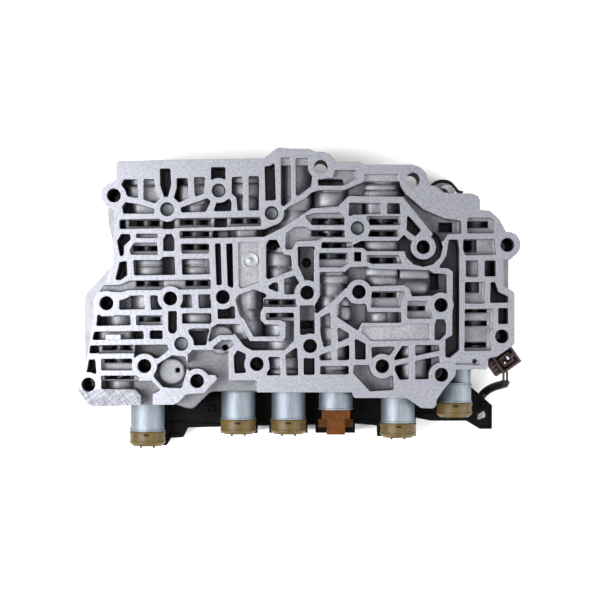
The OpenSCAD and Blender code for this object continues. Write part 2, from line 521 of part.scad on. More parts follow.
// Raised rings that stay whole where a cell meets a bolt hole
module boss_rings() {
  for (p = concat(case_holes, bolt_points))
    translate(p)
      circle(r = boss_radius);
  polygon([[-49, -37.4], [-44.2, -37.6], [-43.4, -39.4], [-45.2, -41.6], [-49, -44]]);
}

// Cut from the case face down to a depth, clear of the bolt rings
module cell_cut(depth) {
  translate([0, 0, face_z - depth])
    linear_extrude(depth + over)
      difference() {
        softened()
          children();
        boss_rings();
      }
}

// Flat-topped length of a barrel with sloped shoulders, down into the floor
module saddle(d) {
  top = face_z - saddle_depth;
  translate([0, d[3], 0])
    rotate([90, 0, 0])
      linear_extrude(d[3] - d[2])
        polygon([[d[0], main_z + over], [d[0], top - 3.2], [d[0] + 0.7, top - 1.5],
          [d[0] + 1.6, top - 0.5], [d[0] + 2.9, top], [d[1] - 2.9, top],
          [d[1] - 1.6, top - 0.5], [d[1] - 0.7, top - 1.5], [d[1], top - 3.2],
          [d[1], main_z + over]]);
}

// Round barrels of cast metal around the valve bores
module barrels() {
  for (b = bores)
    bar_y(b[0], b[1] - b[3] * bore_wall, b[2], bore_z, b[4] + bore_wall);
}

// Position along a bore, measured inward from its open end
function from_open(b, s) = b[2] - b[3] * s;

module main_casting() {
  color("silver")
    difference() {
      translate([0, 0, main_z])
        linear_extrude(main_height)
          main_outline();
      difference() {
        union() {
          cell_cut(cell_depth) {
            deep_shapes();
            ring_cell();
          }
          cell_cut(floor_depth)
            floor_shapes();
        }
        barrels();
        for (d = discs)
          translate([d[0], d[1], main_z])
            cylinder(h = main_height - disc_depth, r = d[2]);
        for (f = high_floors)
          translate([f[0], f[1], main_z])
            cube([f[2] - f[0], f[3] - f[1], main_height - f[4]]);
        for (d = saddles)
          saddle(d);
        translate([side_bulge[0], side_bulge[2], bore_z])
          rotate([0, 90, 0])
            cylinder(h = side_bulge[1] - side_bulge[0], r = side_bulge[3]);
      }
      for (p = passages)
        translate([p[0], p[1], bore_z - bore_depth])
          cylinder(h = 2 * bore_depth + over, r = p[2]);
      for (w = wells)
        translate([w[0], w[1], main_z + well_floor])
          cube([w[2] - w[0], w[3] - w[1], main_height - well_floor + over]);
      cell_cut(channel_depth)
        channel_shapes();
      cell_cut(pad_depth)
        pad_shapes();
      port_cuts();
      for (b = bores) {
        bar_y(b[0], b[1], b[2] + b[3] * 8, bore_z, b[4]);
        if (b[3] < 0)
          along_y(b[0], from_open(b, keeper_inset) - keeper_thickness / 2 - 0.1, bore_z, 1)
            cylinder(h = keeper_thickness + 0.2, r = b[4] + 0.8);
      }
      for (p = frame_screw_points)
        translate([p[0], p[1], main_z - over])
          cylinder(h = 9 + over, r = small_hole);
      keeper_slots();
      solenoid_cuts();
      for (p = case_holes)
        translate([p[0], p[1], main_z - over])
          cylinder(h = main_height + 2 * over, d = bolt_hole);
      for (p = bolt_points) {
        translate([p[0], p[1], main_z - over])
          cylinder(h = main_height, r = bolt_radius + 0.05);
        translate([p[0], p[1], face_z - bolt_recess])
          cylinder(h = bolt_recess + over, d = bolt_hole);
      }
      for (p = ball_points)
        translate([p[0], p[1], main_z - over])
          cylinder(h = 2 * ball_radius + over + gap, r = ball_radius + gap);
    }
}

// Ports from the channel floors into the annular grooves of the bores
module port_cuts() {
  groove = 1.6;
  for (p = ports)
    translate([p[0] - p[2] / 2, p[1] - p[3] / 2, bore_z - groove])
      cube([p[2], p[3], bore_depth]);
}

// Slots for the bore keepers, open to the plate side
module keeper_slots() {
  for (b = bores)
    if (b[3] > 0)
      translate([b[0] - b[4] + gap, from_open(b, keeper_inset) - keeper_thickness / 2 - 0.1,
        main_z - over])
        cube([2 * b[4] - 2 * gap, keeper_thickness + 0.2, bore_z - main_z + over + 3.2]);
}

// Seats for the solenoid noses, room for the cans and slots for their keepers
module solenoid_cuts() {
  for (s = solenoids) {
    bar_y(s[0], s[1] - over, s[1] + nose_length + 0.5, solenoid_z, nose_radius + 0.1);
    bar_y(s[0], s[1] - s[3] - 20, s[1] - s[3], solenoid_z, can_radius + 0.5);
    if (s[3] > 0)
      bar_y(s[0] + collar_step, s[1] - s[3] - over, s[1], solenoid_z, collar_radius + gap);
    translate([s[0] - nose_radius - 2, s[1] + keeper_step, main_z - over])
      cube([2 * nose_radius + 4, keeper_thickness + 0.2, solenoid_z - main_z + over + 2.4]);
  }
}

module rear_casting() {
  rib_width = 3;
  color("darkgray")
    difference() {
      union() {
        linear_extrude(rear_height)
          rear_outline();
        linear_extrude(lug_height)
          polygon([[65, 46], [66, 57], [69.5, 61.5], [74.5, 61.5], [78, 57], [79, 46]]);
      }
      translate([clip_point[0], clip_point[1], lug_height - 8])
        cylinder(h = 8 + over, r = small_hole);
      translate([0, 0, -over])
        linear_extrude(back_depth + over)
          difference() {
            offset(delta = -back_rim)
              rear_outline();
            for (p = case_holes)
              translate(p)
                circle(r = boss_radius + 0.6);
            for (y = [-20, 14, 42])
              translate([-110, y - rib_width / 2])
                square([220, rib_width]);
            for (x = [-72, -32, 8, 48])
              translate([x - rib_width / 2, -48])
                square([rib_width, 120]);
          }
      for (p = case_holes)
        translate([p[0], p[1], -over])
          cylinder(h = rear_height + 2 * over, d = bolt_hole);
      for (p = bolt_points) {
        translate([p[0], p[1], -over])
          cylinder(h = rear_height + 2 * over, r = bolt_radius + gap);
        translate([p[0], p[1], -over])
          cylinder(h = back_depth + over, r = head_radius + 2);
      }
    }
}

module separator_plate() {
  color("gainsboro")
    translate([0, 0, plate_z])
      linear_extrude(plate_thickness)
        difference() {
          intersection() {
            offset(delta = -0.6)
              main_outline();
            offset(delta = 3)
              rear_outline();
          }
          for (p = case_holes)
            translate(p)
              circle(d = bolt_hole);
          for (p = bolt_points)
            translate(p)
              circle(r = bolt_radius + gap);
        }
}

// One spool: a stem with evenly spread lands
module spool(i) {
  b = bores[i];
  reach = abs(b[2] - b[1]) - front_length - spool_end_gap;
  land_r = b[4] - spool_clearance;
  count = max(2, round(reach / (2.2 * land_length)));
  color("lightsteelblue")
    along_y(b[0], b[1] + b[3] * spool_end_gap, bore_z, b[3])
      union() {
        cylinder(h = reach, r = land_r * stem_share);
        for (k = [0 : count - 1])
          translate([0, 0, k * (reach - land_length) / (count - 1)])
            cylinder(h = land_length, r = land_r);
      }
}

// Return spring with flat end turns, swept along a helix
module spring(i) {
  b = bores[i];
  turns = 5;
  steps = 10;
  sides = 6;
  flat = 0.6;
  coil_r = b[4] - spring_wire - 0.9;
  rise = spring_length - 2 * spring_wire;
  n = turns * steps;
  function climb(t) = rise * max(0, min(1, (t - flat) / (turns - 2 * flat)));
  ring = [for (k = [0 : n]) for (j = [0 : sides - 1])
    let (t = k / steps, a = 360 * t, c = 360 * j / sides,
      r = coil_r - spring_wire * sin(c), z = spring_wire + climb(t) + spring_wire * cos(c))
    [r * cos(a), r * sin(a), z]];
  skin = [for (k = [0 : n - 1]) for (j = [0 : sides - 1])
    let (q = (j + 1) % sides)
    [k * sides + j, k * sides + q, (k + 1) * sides + q, (k + 1) * sides + j]];
  first = [for (j = [sides - 1 : -1 : 0]) j];
  last = [for (j = [0 : sides - 1]) n * sides + j];
  color("dimgray")
    along_y(b[0], from_open(b, front_length), bore_z, b[3])
      polyhedron(points = ring, faces = concat([first], skin, [last]), convexity = 8);
}

module bore_plugs() {
  color("silver")
    for (b = bores)
      along_y(b[0], from_open(b, front_length - spring_length), bore_z, b[3])
        difference() {
          cylinder(h = plug_length, r = b[4] - 0.05);
          translate([0, 0, plug_length - 2])
            cylinder(h = 2 + over, r = b[4] / 3);
        }
}

module plug_keepers() {
  color("gray")
    for (b = bores)
      if (b[3] > 0)
        translate([b[0] - b[4] + 2 * gap, from_open(b, keeper_inset) - keeper_thickness / 2,
          main_z])
          cube([2 * b[4] - 4 * gap, keeper_thickness, bore_z - main_z + 3]);
}

// Retaining rings in the bores that open towards the solenoids
module plug_rings() {
  color("gray")
    for (b = bores)
      if (b[3] < 0)
        along_y(b[0], from_open(b, keeper_inset) - keeper_thickness / 2, bore_z, 1)
          ring_cut(b[4] + 0.7, b[4] - 1.6, keeper_thickness);
}

// Solenoid can with its nose, two seal grooves and a keeper groove
module solenoid(i) {
  s = solenoids[i];
  groove_r = nose_radius - nose_groove;
  color("lightgray")
    along_y(s[0], s[1], solenoid_z, 1)
      difference() {
        union() {
          translate([0, 0, -s[3] - s[2]])
            cylinder(h = s[2], r = can_radius);
          if (s[3] > 0)
            translate([collar_step, 0, -s[3]])
              cylinder(h = s[3], r = collar_radius);
          cylinder(h = nose_length, r = nose_radius);
        }
        for (g = seal_steps)
          translate([0, 0, g - seal_section])
            ring_cut(nose_radius + over, nose_radius - 2 * seal_section, 2 * seal_section);
        translate([0, 0, keeper_step])
          ring_cut(nose_radius + over, groove_r, keeper_thickness + 0.2);
        translate([0, 0, nose_length - 4])
          cylinder(h = 4 + over, r = nose_radius / 3);
      }
}

// A plain ring used to turn a groove
module ring_cut(outer, inner, height) {
  difference() {
    cylinder(h = height, r = outer);
    translate([0, 0, -over])
      cylinder(h = height + 2 * over, r = inner);
  }
}

module nose_seals() {
  mid_r = nose_radius + 0.08 - seal_section;
  color("black")
    for (s = solenoids)
      for (g = seal_steps)
        along_y(s[0], s[1] + g, solenoid_z, 1)
          rotate_extrude()
            translate([mid_r, 0])
              circle(r = seal_section - 0.02);
}

module solenoid_keepers() {
  groove_r = nose_radius - nose_groove;
  color("gray")
    for (s = solenoids)
      translate([s[0], s[1] + keeper_step + 0.1, main_z])
        difference() {
          translate([-nose_radius - 1.8, 0, 0])
            cube([2 * nose_radius + 3.6, keeper_thickness, solenoid_z - main_z + 2]);
          translate([-groove_r - 0.1, -over, solenoid_z - main_z])
            cube([2 * groove_r + 0.2, keeper_thickness + 2 * over, 10]);
          translate([0, -over, solenoid_z - main_z])
            rotate([-90, 0, 0])
              cylinder(h = keeper_thickness + 2 * over, r = groove_r + 0.1);
        }
}

// Outer end of a solenoid can
function can_end(s) = s[1] - s[2] - s[3];

// Plastic cap with a terminal block towards the lead frame and two small feet
module cap(i) {
  s = solenoids[i];
  end_y = can_end(s);
  cap_r = can_radius + 0.4;
  color("darkkhaki")
    difference() {
      union() {
        bar_y(s[0], end_y, end_y - cap_length + 1.5, solenoid_z, cap_r);
        along_y(s[0], end_y - cap_length + 1.5, solenoid_z, -1)
          cylinder(h = 1.5, r1 = cap_r, r2 = cap_r - 1.5);
        translate([s[0] - 5.5, end_y - cap_length, frame_top])
          cube([11, cap_length - 0.5, solenoid_z - frame_top]);
        for (dx = [-pin_half, pin_half])
          bar_y(s[0] + dx, end_y - cap_length - foot_length, end_y - cap_length + over,
            solenoid_z + 2, 0.5);
      }
      translate([s[0] - 1.4, end_y - 2.2, solenoid_z + cap_r - 1])
        cube([2.8, 1, 3]);
    }
}

// Brown cap of the fourth solenoid, a bar with a narrower tongue
module tee_cap() {
  s = solenoids[tee_solenoid];
  end_y = can_end(s);
  color("sienna")
    union() {
      translate([s[0] - 7.2, end_y - tee_bar, frame_top])
        cube([14.4, tee_bar, solenoid_z + 6 - frame_top]);
      translate([s[0] - 4.6, end_y - tee_tongue, frame_top])
        cube([9.2, tee_tongue, solenoid_z + 6.4 - frame_top]);
      translate([s[0] - 8.8, end_y - tee_bar - 4.6, frame_top])
        cube([17.6, 4.1, solenoid_z - 2 - frame_top]);
    }
}

// Terminal pins from the cap blocks down into the lead frame
module solenoid_pins() {
  color("goldenrod")
    for (s = solenoids)
      for (dx = [-pin_half, pin_half])
        translate([s[0] + dx, can_end(s) - cap_length / 2, frame_top - 4])
          cylinder(h = 4, r = 0.6);
}

// Plan of the lead frame behind the solenoid row
module frame_outline() {
  polygon([
    [-90, -66], [-90, -73.5], [-88, -75.2], [-71, -75.2], [-69, -71.4], [-62.5, -71],
    [-60, -66], [-43, -65.6], [-43, -69], [-24, -69], [-24, -65], [-18, -65],
    [-18, -68.8], [2, -68.8], [2, -64.6], [6, -64.6], [6, -68.8], [26.5, -68.8],
    [26.5, -64], [38, -65], [38, -70.6], [58, -70.6], [58, -61], [66, -62.5],
    [84, -62.5], [91, -66.8], [97.4, -66.8], [97.4, -54.48], [86, -44.5], [76, -46.5],
    [66, -46.5], [64, -42.4], [12, -42.4], [8, -46.5], [-72.4, -46.5], [-72.4, -66]
  ]);
}

module lead_frame() {
  wall = 2;
  color("dimgray")
    difference() {
      union() {
        translate([0, 0, frame_bottom])
          linear_extrude(frame_thickness)
            frame_outline();
        for (p = frame_screw_points)
          translate([p[0], p[1], frame_bottom])
            cylinder(h = main_z - frame_bottom, r = 2.6);
      }
      translate([0, 0, frame_bottom - over])
        linear_extrude(frame_thickness - wall - 2 + over)
          difference() {
            offset(delta = -wall)
              frame_outline();
            for (s = solenoids)
              translate([s[0] - 6, can_end(s) - cap_length])
                square([12, cap_length]);
            for (p = frame_screw_points)
              translate(p)
                circle(r = 4);
          }
      translate([0, 0, frame_bottom - over])
        linear_extrude(frame_thickness + 2 * over)
          polygon([[89.7, -62], [90, -59.2], [93.2, -57.4], [94.2, -59.2], [94, -61],
            [92.4, -61.4], [91.5, -62]]);
      for (s = solenoids)
        for (dx = [-pin_half, pin_half])
          translate([s[0] + dx, can_end(s) - cap_length / 2, frame_top - 4.2])
            cylinder(h = 5, r = 0.65);
      for (p = frame_screw_points)
        translate([p[0], p[1], frame_bottom - over])
          cylinder(h = main_z - frame_bottom + 2 * over, r = small_hole);
    }
}

module frame_screws() {
  color("silver")
    for (p = frame_screw_points)
      translate([p[0], p[1], 0]) {
        translate([0, 0, frame_bottom])
          cylinder(h = main_z + 8 - frame_bottom, r = small_shank);
        translate([0, 0, frame_bottom - 2])
          cylinder(h = 2, r = 3);
      }
}

module assembly_bolts() {
  color("slategray")
    for (p = bolt_points)
      translate([p[0], p[1], back_depth]) {
        cylinder(h = face_z - bolt_recess - back_depth, r = bolt_radius);
        translate([0, 0, -1.4])
          cylinder(h = 1.4, r = head_radius);
        translate([0, 0, -head_height])
          cylinder(h = head_height - 1.4, r = head_radius - 0.8, $fn = 6);
      }
}

module check_balls() {
  color("white")
    for (p = ball_points)
      translate([p[0], p[1], main_z + ball_radius])
        sphere(r = ball_radius);
}

// Brown plug on the end of the sensor lead
module sensor_plug() {
  color("saddlebrown")
    translate([sensor_middle[0], sensor_middle[1], solenoid_z - 4])
      rotate([0, 0, sensor_turn])
        difference() {
          translate([-sensor_size[0] / 2, -sensor_size[1] / 2, 0])
            cube(sensor_size);
          translate([-sensor_size[0] / 2 + 2, -1, sensor_size[2] - 2.5])
            cube([sensor_size[0] - 4, 4.6, 4]);
          translate([sensor_size[0] / 2 - 7, -sensor_size[1] / 2 + 2, 2])
            cube([8, sensor_size[1] - 4, 6]);
        }
}

module sensor_wires() {
  start = sheath_points[len(sheath_points) - 1];
  color("black")
    for (w = [[-0.9, -37.7], [0.9, -36.5]])
      bar_y(start[0] + w[0], start[1], w[1], start[2], wire_radius);
}

// Black sheath along the lead, a round tube swept through the route points
module cable_sheath() {
  sides = 10;
  n = len(sheath_points) - 1;
  function unit(v) = v / norm(v);
  function heading(k) = unit(sheath_points[min(n, k + 1)] - sheath_points[max(0, k - 1)]);
  function side(k) = unit(cross([0, 0, 1], heading(k)));
  ring = [for (k = [0 : n]) for (j = [0 : sides - 1])
    let (a = 360 * j / sides, u = side(k), v = cross(heading(k), u))
    sheath_points[k] + sheath_radius * (cos(a) * u + sin(a) * v)];
  skin = [for (k = [0 : n - 1]) for (j = [0 : sides - 1])
    let (q = (j + 1) % sides)
    [k * sides + j, (k + 1) * sides + j, (k + 1) * sides + q, k * sides + q]];
  first = [for (j = [0 : sides - 1]) j];
  last = [for (j = [sides - 1 : -1 : 0]) n * sides + j];
  color("black")
    polyhedron(points = ring, faces = concat([first], skin, [last]), convexity = 4);
}

// Short loop of cable held round the clip screw at the top right
module clip_cable() {
  loop_radius = 5;
  cable_radius = 0.7;
  color("black")
    translate([clip_point[0], clip_point[1], lug_height + cable_radius])
      rotate_extrude(angle = 180)
        translate([loop_radius, 0])
          circle(r = cable_radius);
}

module clip_screw() {
  color("silver")
    translate([clip_point[0], clip_point[1], lug_height]) {
      cylinder(h = 3, r = 3);
      translate([0, 0, -7])
        cylinder(h = 7, r = small_shank);
    }
}

// Moves every piece from the drawing datum to the middle of the part
module placed() {
  translate([plan_x, plan_y, 0])
    children();
}

placed() main_casting();
placed() rear_casting();
placed() separator_plate();
placed() spool(0);  // spool_1
placed() spool(1);  // spool_2
placed() spool(2);  // spool_3
placed() spool(3);  // spool_4
placed() spool(4);  // spool_5
placed() spool(5);  // spool_6
placed() spool(6);  // spool_7
placed() spool(7);  // spool_8
placed() spool(8);  // spool_9
placed() spool(9);  // spool_10
placed() spring(0);  // spring_1
placed() spring(1);  // spring_2
placed() spring(2);  // spring_3
placed() spring(3);  // spring_4
placed() spring(4);  // spring_5
placed() spring(5);  // spring_6
placed() spring(6);  // spring_7
placed() spring(7);  // spring_8
placed() spring(8);  // spring_9
placed() spring(9);  // spring_10
placed() bore_plugs();
placed() plug_keepers();
placed() plug_rings();
placed() solenoid(0);  // solenoid_1
placed() solenoid(1);  // solenoid_2
placed() solenoid(2);  // solenoid_3
placed() solenoid(3);  // solenoid_4
placed() solenoid(4);  // solenoid_5
placed() solenoid(5);  // solenoid_6
placed() cap(0);  // cap_1
placed() cap(1);  // cap_2
placed() cap(2);  // cap_3
placed() tee_cap();  // cap_4
placed() cap(4);  // cap_5
placed() cap(5);  // cap_6
placed() nose_seals();
placed() solenoid_keepers();
placed() solenoid_pins();
placed() lead_frame();
placed() frame_screws();
placed() assembly_bolts();
placed() check_balls();
placed() sensor_plug();
placed() sensor_wires();
placed() cable_sheath();
placed() clip_cable();
placed() clip_screw();
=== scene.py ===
import json
import math
import bpy
import bmesh
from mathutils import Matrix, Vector

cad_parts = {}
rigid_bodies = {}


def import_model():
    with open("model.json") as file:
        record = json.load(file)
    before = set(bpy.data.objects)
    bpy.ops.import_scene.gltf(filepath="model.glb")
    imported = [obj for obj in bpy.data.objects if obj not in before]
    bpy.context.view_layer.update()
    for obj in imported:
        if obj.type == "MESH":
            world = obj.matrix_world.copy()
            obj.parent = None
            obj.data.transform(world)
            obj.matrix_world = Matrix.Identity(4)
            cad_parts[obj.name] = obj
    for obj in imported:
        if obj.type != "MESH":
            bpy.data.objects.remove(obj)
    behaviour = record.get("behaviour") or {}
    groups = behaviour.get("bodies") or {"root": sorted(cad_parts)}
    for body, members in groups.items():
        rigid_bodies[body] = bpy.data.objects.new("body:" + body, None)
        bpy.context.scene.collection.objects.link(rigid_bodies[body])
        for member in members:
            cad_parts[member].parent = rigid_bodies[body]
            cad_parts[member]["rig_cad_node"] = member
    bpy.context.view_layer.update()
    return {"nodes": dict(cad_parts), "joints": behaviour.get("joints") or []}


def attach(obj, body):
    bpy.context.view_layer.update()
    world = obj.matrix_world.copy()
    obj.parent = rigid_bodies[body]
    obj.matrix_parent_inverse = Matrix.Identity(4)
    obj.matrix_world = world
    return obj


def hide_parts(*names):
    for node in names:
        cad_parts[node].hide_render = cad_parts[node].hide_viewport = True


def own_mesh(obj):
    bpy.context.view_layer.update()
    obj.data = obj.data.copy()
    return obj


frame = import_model()
nodes = frame["nodes"]
print("stage: frame loaded")

# the drawing datum of the CAD plan, so that places read as on the plan, in millimetres
plan = {"x": 1.37254, "y": -0.3, "face": 52.0, "solenoidAxis": 25.7, "frameTop": 13.0}


def mm(value):
    return value / 1000


def at(x, y, z):
    return Vector((mm(x + plan["x"]), mm(y + plan["y"]), mm(z)))


# small helpers for materials


# scale of a pattern from its real size in millimetres
def perMetre(sizeMm):
    return 1000 / sizeMm


def hexColor(code):
    parts = [int(code[i:i + 2], 16) / 255 for i in (1, 3, 5)]
    return [p / 12.92 if p <= 0.04045 else ((p + 0.055) / 1.055) ** 2.4 for p in parts] + [1.0]


def addNode(tree, kind, settings, inputs):
    node = tree.nodes.new(kind)
    for name, value in settings.items():
        setattr(node, name, value)
    for name, value in inputs.items():
        if isinstance(value, tuple) and len(value) == 2 and hasattr(value[0], "outputs"):
            tree.links.new(value[0].outputs[value[1]], node.inputs[name])
        else:
            node.inputs[name].default_value = value
    return node


def newMaterial(name):
    material = bpy.data.materials.new(name)
    material.use_nodes = True
    tree = material.node_tree
    shader = tree.nodes["Principled BSDF"]
    place = addNode(tree, "ShaderNodeTexCoord", {}, {})
    return material, tree, shader, place


# die cast aluminium with a milled case face: bright flat rib tops, satin grainy walls,
# floors that fall into shade with depth; grain and speckle are coarser than real, so that they show

castSkin = {
    "grain": {"Scale": perMetre(0.9), "Detail": 3.0},
    "mottle": {"Scale": perMetre(9.0), "Detail": 4.0},
    "grainTone": {"From Min": 0.36, "From Max": 0.64, "To Min": 0.79, "To Max": 1.1},
    "mottleTone": {"From Min": 0.3, "From Max": 0.75, "To Min": 0.78, "To Max": 1.06},
    # shades from the deepest floors up to the pads just under the face
    "depths": {"From Min": mm(31.0), "From Max": mm(50.0)},
    "shades": [(0.0, "#606165"), (0.1, "#66676b"), (0.303, "#6c6d71"), (0.522, "#727378"),
               (0.741, "#7c7d82"), (0.85, "#7c7d82"), (1.0, "#88898e")],
    "roughness": 0.52,
    "metal": 0.75,
    "lift": 0.35,
}
# two flat discs stand paler than the floors round them: middle on the plan and radius
paleDiscs = {"places": [((-66.5, -36.0, 44.0), 6.6), ((-42.0, -20.0, 44.0), 7.1)], "edge": 0.3, "gain": 1.32}
milledFace = {
    "level": {"From Min": mm(51.6), "From Max": mm(51.9)},
    "upright": {"From Min": 0.86, "From Max": 0.98},
    "light": "#94959d",
    "dark": "#74757c",
    "speckle": {"Scale": perMetre(0.9), "Detail": 6.0, "Roughness": 0.9},
    "speckleTone": {"From Min": 0.38, "From Max": 0.58},
    "arcs": {"Scale": perMetre(10.0), "Distortion": 1.5, "Detail": 2.0},
    "arcTone": {"To Min": 0.97, "To Max": 1.0},
    "roughness": {"To Min": 0.34, "To Max": 0.5},
    "metal": 1.0,
    "lift": 0.05,
}
# the clamping pad at the lower left is scored crosswise; its corner is counted in the frame
scoredPad = {
    "right": -79.8,
    "upper": -44.6,
    "edge": 0.6,
    "turns": (38, -52),
    "stretch": (1, 9, 1),
    "stroke": {"Scale": perMetre(0.9), "Detail": 2.0},
    "strokeTone": {"From Min": 0.4, "From Max": 0.62, "To Min": 0.97, "To Max": 0.62},
}
# cast edges below the face are well rounded, the milled rims only lightly broken
castEdges = {
    "reach": {"From Min": mm(49.0), "From Max": mm(51.0), "To Min": mm(1.8), "To Max": mm(0.25)},
    "samples": 6,
    "bump": mm(0.25),
}


# as cast skin: shade by depth, broken by grain and slow mottling
def castSkinTone(tree, place, height, grain):
    mottle = addNode(tree, "ShaderNodeTexNoise", {}, {"Vector": (place, "Object"), **castSkin["mottle"]})
    depth = addNode(tree, "ShaderNodeMapRange", {}, {"Value": height, **castSkin["depths"]})
    shade = addNode(tree, "ShaderNodeValToRGB", {}, {"Fac": (depth, 0)})
    stops = shade.color_ramp.elements
    while len(stops) < len(castSkin["shades"]):
        stops.new(0.5)
    for stop, (position, code) in zip(stops, castSkin["shades"]):
        stop.position = position
        stop.color = hexColor(code)
    spots = addNode(tree, "ShaderNodeMapRange", {}, {"Value": (mottle, "Fac"), **castSkin["mottleTone"]})
    sand = addNode(tree, "ShaderNodeMapRange", {}, {"Value": (grain, "Fac"), **castSkin["grainTone"]})
    rubbed = addNode(tree, "ShaderNodeMath", {"operation": "MULTIPLY"}, {0: (spots, 0), 1: (sand, 0)})
    for middle, radius in paleDiscs["places"]:
        away = addNode(tree, "ShaderNodeVectorMath", {"operation": "DISTANCE"},
                       {0: (place, "Object"), 1: at(*middle)})
        gain = addNode(tree, "ShaderNodeMapRange", {},
                       {"Value": (away, "Value"), "From Min": mm(radius),
                        "From Max": mm(radius - paleDiscs["edge"]),
                        "To Min": 1.0, "To Max": paleDiscs["gain"]})
        rubbed = addNode(tree, "ShaderNodeMath", {"operation": "MULTIPLY"}, {0: (rubbed, 0), 1: (gain, 0)})
    return addNode(tree, "ShaderNodeMix", {"data_type": "RGBA", "blend_type": "MULTIPLY"},
                   {0: 1.0, 6: (shade, "Color"), 7: (rubbed, 0)})


# milled face: fine grey speckle and faint cutter arcs, scored on the pad
def milledFaceTone(tree, place, xyz, speckle, arcs):
    tone = addNode(tree, "ShaderNodeMapRange", {}, {"Value": (speckle, "Fac"), **milledFace["speckleTone"]})
    color = addNode(tree, "ShaderNodeMix", {"data_type": "RGBA"},
                    {0: (tone, 0), 6: hexColor(milledFace["dark"]), 7: hexColor(milledFace["light"])})
    arcTone = addNode(tree, "ShaderNodeMapRange", {}, {"Value": (arcs, "Fac"), **milledFace["arcTone"]})
    cut = addNode(tree, "ShaderNodeMix", {"data_type": "RGBA", "blend_type": "MULTIPLY"},
                  {0: 1.0, 6: (color, 2), 7: (arcTone, 0)})
    sides = []
    for axis, edge in (("X", scoredPad["right"]), ("Y", scoredPad["upper"])):
        sides.append(addNode(tree, "ShaderNodeMapRange", {},
                             {"Value": (xyz, axis), "From Min": mm(edge),
                              "From Max": mm(edge - scoredPad["edge"])}))
    pad = addNode(tree, "ShaderNodeMath", {"operation": "MULTIPLY"}, {0: (sides[0], 0), 1: (sides[1], 0)})
    tones = []
    for turn in scoredPad["turns"]:
        slant = addNode(tree, "ShaderNodeMapping", {"vector_type": "TEXTURE"},
                        {"Vector": (place, "Object"), "Rotation": (0, 0, math.radians(turn)),
                         "Scale": scoredPad["stretch"]})
        stroke = addNode(tree, "ShaderNodeTexNoise", {}, {"Vector": (slant, 0), **scoredPad["stroke"]})
        tones.append(addNode(tree, "ShaderNodeMapRange", {},
                             {"Value": (stroke, "Fac"), **scoredPad["strokeTone"]}))
    crossed = addNode(tree, "ShaderNodeMath", {"operation": "MULTIPLY"}, {0: (tones[0], 0), 1: (tones[1], 0)})
    return addNode(tree, "ShaderNodeMix", {"data_type": "RGBA", "blend_type": "MULTIPLY"},
                   {0: (pad, 0), 6: (cut, 2), 7: (crossed, 0)})


def castAluminium():
    material, tree, shader, place = newMaterial("castAluminiumMilledFace")
    xyz = addNode(tree, "ShaderNodeSeparateXYZ", {}, {"Vector": (place, "Object")})
    facing = addNode(tree, "ShaderNodeNewGeometry", {}, {})
    up = addNode(tree, "ShaderNodeSeparateXYZ", {}, {"Vector": (facing, "Normal")})
    level = addNode(tree, "ShaderNodeMapRange", {}, {"Value": (xyz, "Z"), **milledFace["level"]})
    flat = addNode(tree, "ShaderNodeMapRange", {}, {"Value": (up, "Z"), **milledFace["upright"]})
    milled = addNode(tree, "ShaderNodeMath", {"operation": "MULTIPLY"}, {0: (level, 0), 1: (flat, 0)})
    grain = addNode(tree, "ShaderNodeTexNoise", {}, {"Vector": (place, "Object"), **castSkin["grain"]})
    speckle = addNode(tree, "ShaderNodeTexNoise", {}, {"Vector": (place, "Object"), **milledFace["speckle"]})
    arcs = addNode(tree, "ShaderNodeTexWave", {"wave_type": "RINGS", "rings_direction": "Z"},
                   {"Vector": (place, "Object"), **milledFace["arcs"]})
    skinTone = castSkinTone(tree, place, (xyz, "Z"), grain)
    faceTone = milledFaceTone(tree, place, xyz, speckle, arcs)
    color = addNode(tree, "ShaderNodeMix", {"data_type": "RGBA"},
                    {0: (milled, 0), 6: (skinTone, 2), 7: (faceTone, 2)})
    faceRough = addNode(tree, "ShaderNodeMapRange", {},
                        {"Value": (speckle, "Fac"), **milledFace["roughness"]})
    rough = addNode(tree, "ShaderNodeMix", {"data_type": "FLOAT"},
                    {0: (milled, 0), 2: castSkin["roughness"], 3: (faceRough, 0)})
    metal = addNode(tree, "ShaderNodeMix", {"data_type": "FLOAT"},
                    {0: (milled, 0), 2: castSkin["metal"], 3: milledFace["metal"]})
    relief = addNode(tree, "ShaderNodeMix", {"data_type": "FLOAT"},
                     {0: (milled, 0), 2: (grain, "Fac"), 3: (arcs, "Fac")})
    lift = addNode(tree, "ShaderNodeMix", {"data_type": "FLOAT"},
                   {0: (milled, 0), 2: castSkin["lift"], 3: milledFace["lift"]})
    reach = addNode(tree, "ShaderNodeMapRange", {}, {"Value": (xyz, "Z"), **castEdges["reach"]})
    rounded = addNode(tree, "ShaderNodeBevel", {"samples": castEdges["samples"]}, {"Radius": (reach, 0)})
    bump = addNode(tree, "ShaderNodeBump", {},
                   {"Height": (relief, 0), "Strength": (lift, 0), "Distance": castEdges["bump"],
                    "Normal": (rounded, 0)})
    tree.links.new(color.outputs[2], shader.inputs["Base Color"])
    tree.links.new(rough.outputs[0], shader.inputs["Roughness"])
    tree.links.new(metal.outputs[0], shader.inputs["Metallic"])
    tree.links.new(bump.outputs[0], shader.inputs["Normal"])
    return material


# plain finishes: two tones in slow clouds, and a grain in gloss and relief,
# which is drawn coarser than real, so that it shows

metalLook = {
    "cloudDetail": 5.0,
    "grainDetail": 2.0,
    "cloudTone": {"From Min": 0.32, "From Max": 0.68},
    "smoother": 0.08,
    "rougher": 0.1,
    "bump": mm(0.2),
}
plasticLook = {
    "cloudDetail": 4.0,
    "grainDetail": 2.0,
    "cloudTone": {"From Min": 0.3, "From Max": 0.7},
    "smoother": 0.07,
    "rougher": 0.09,
    "bump": mm(0.15),
    "ior": 1.5,
}


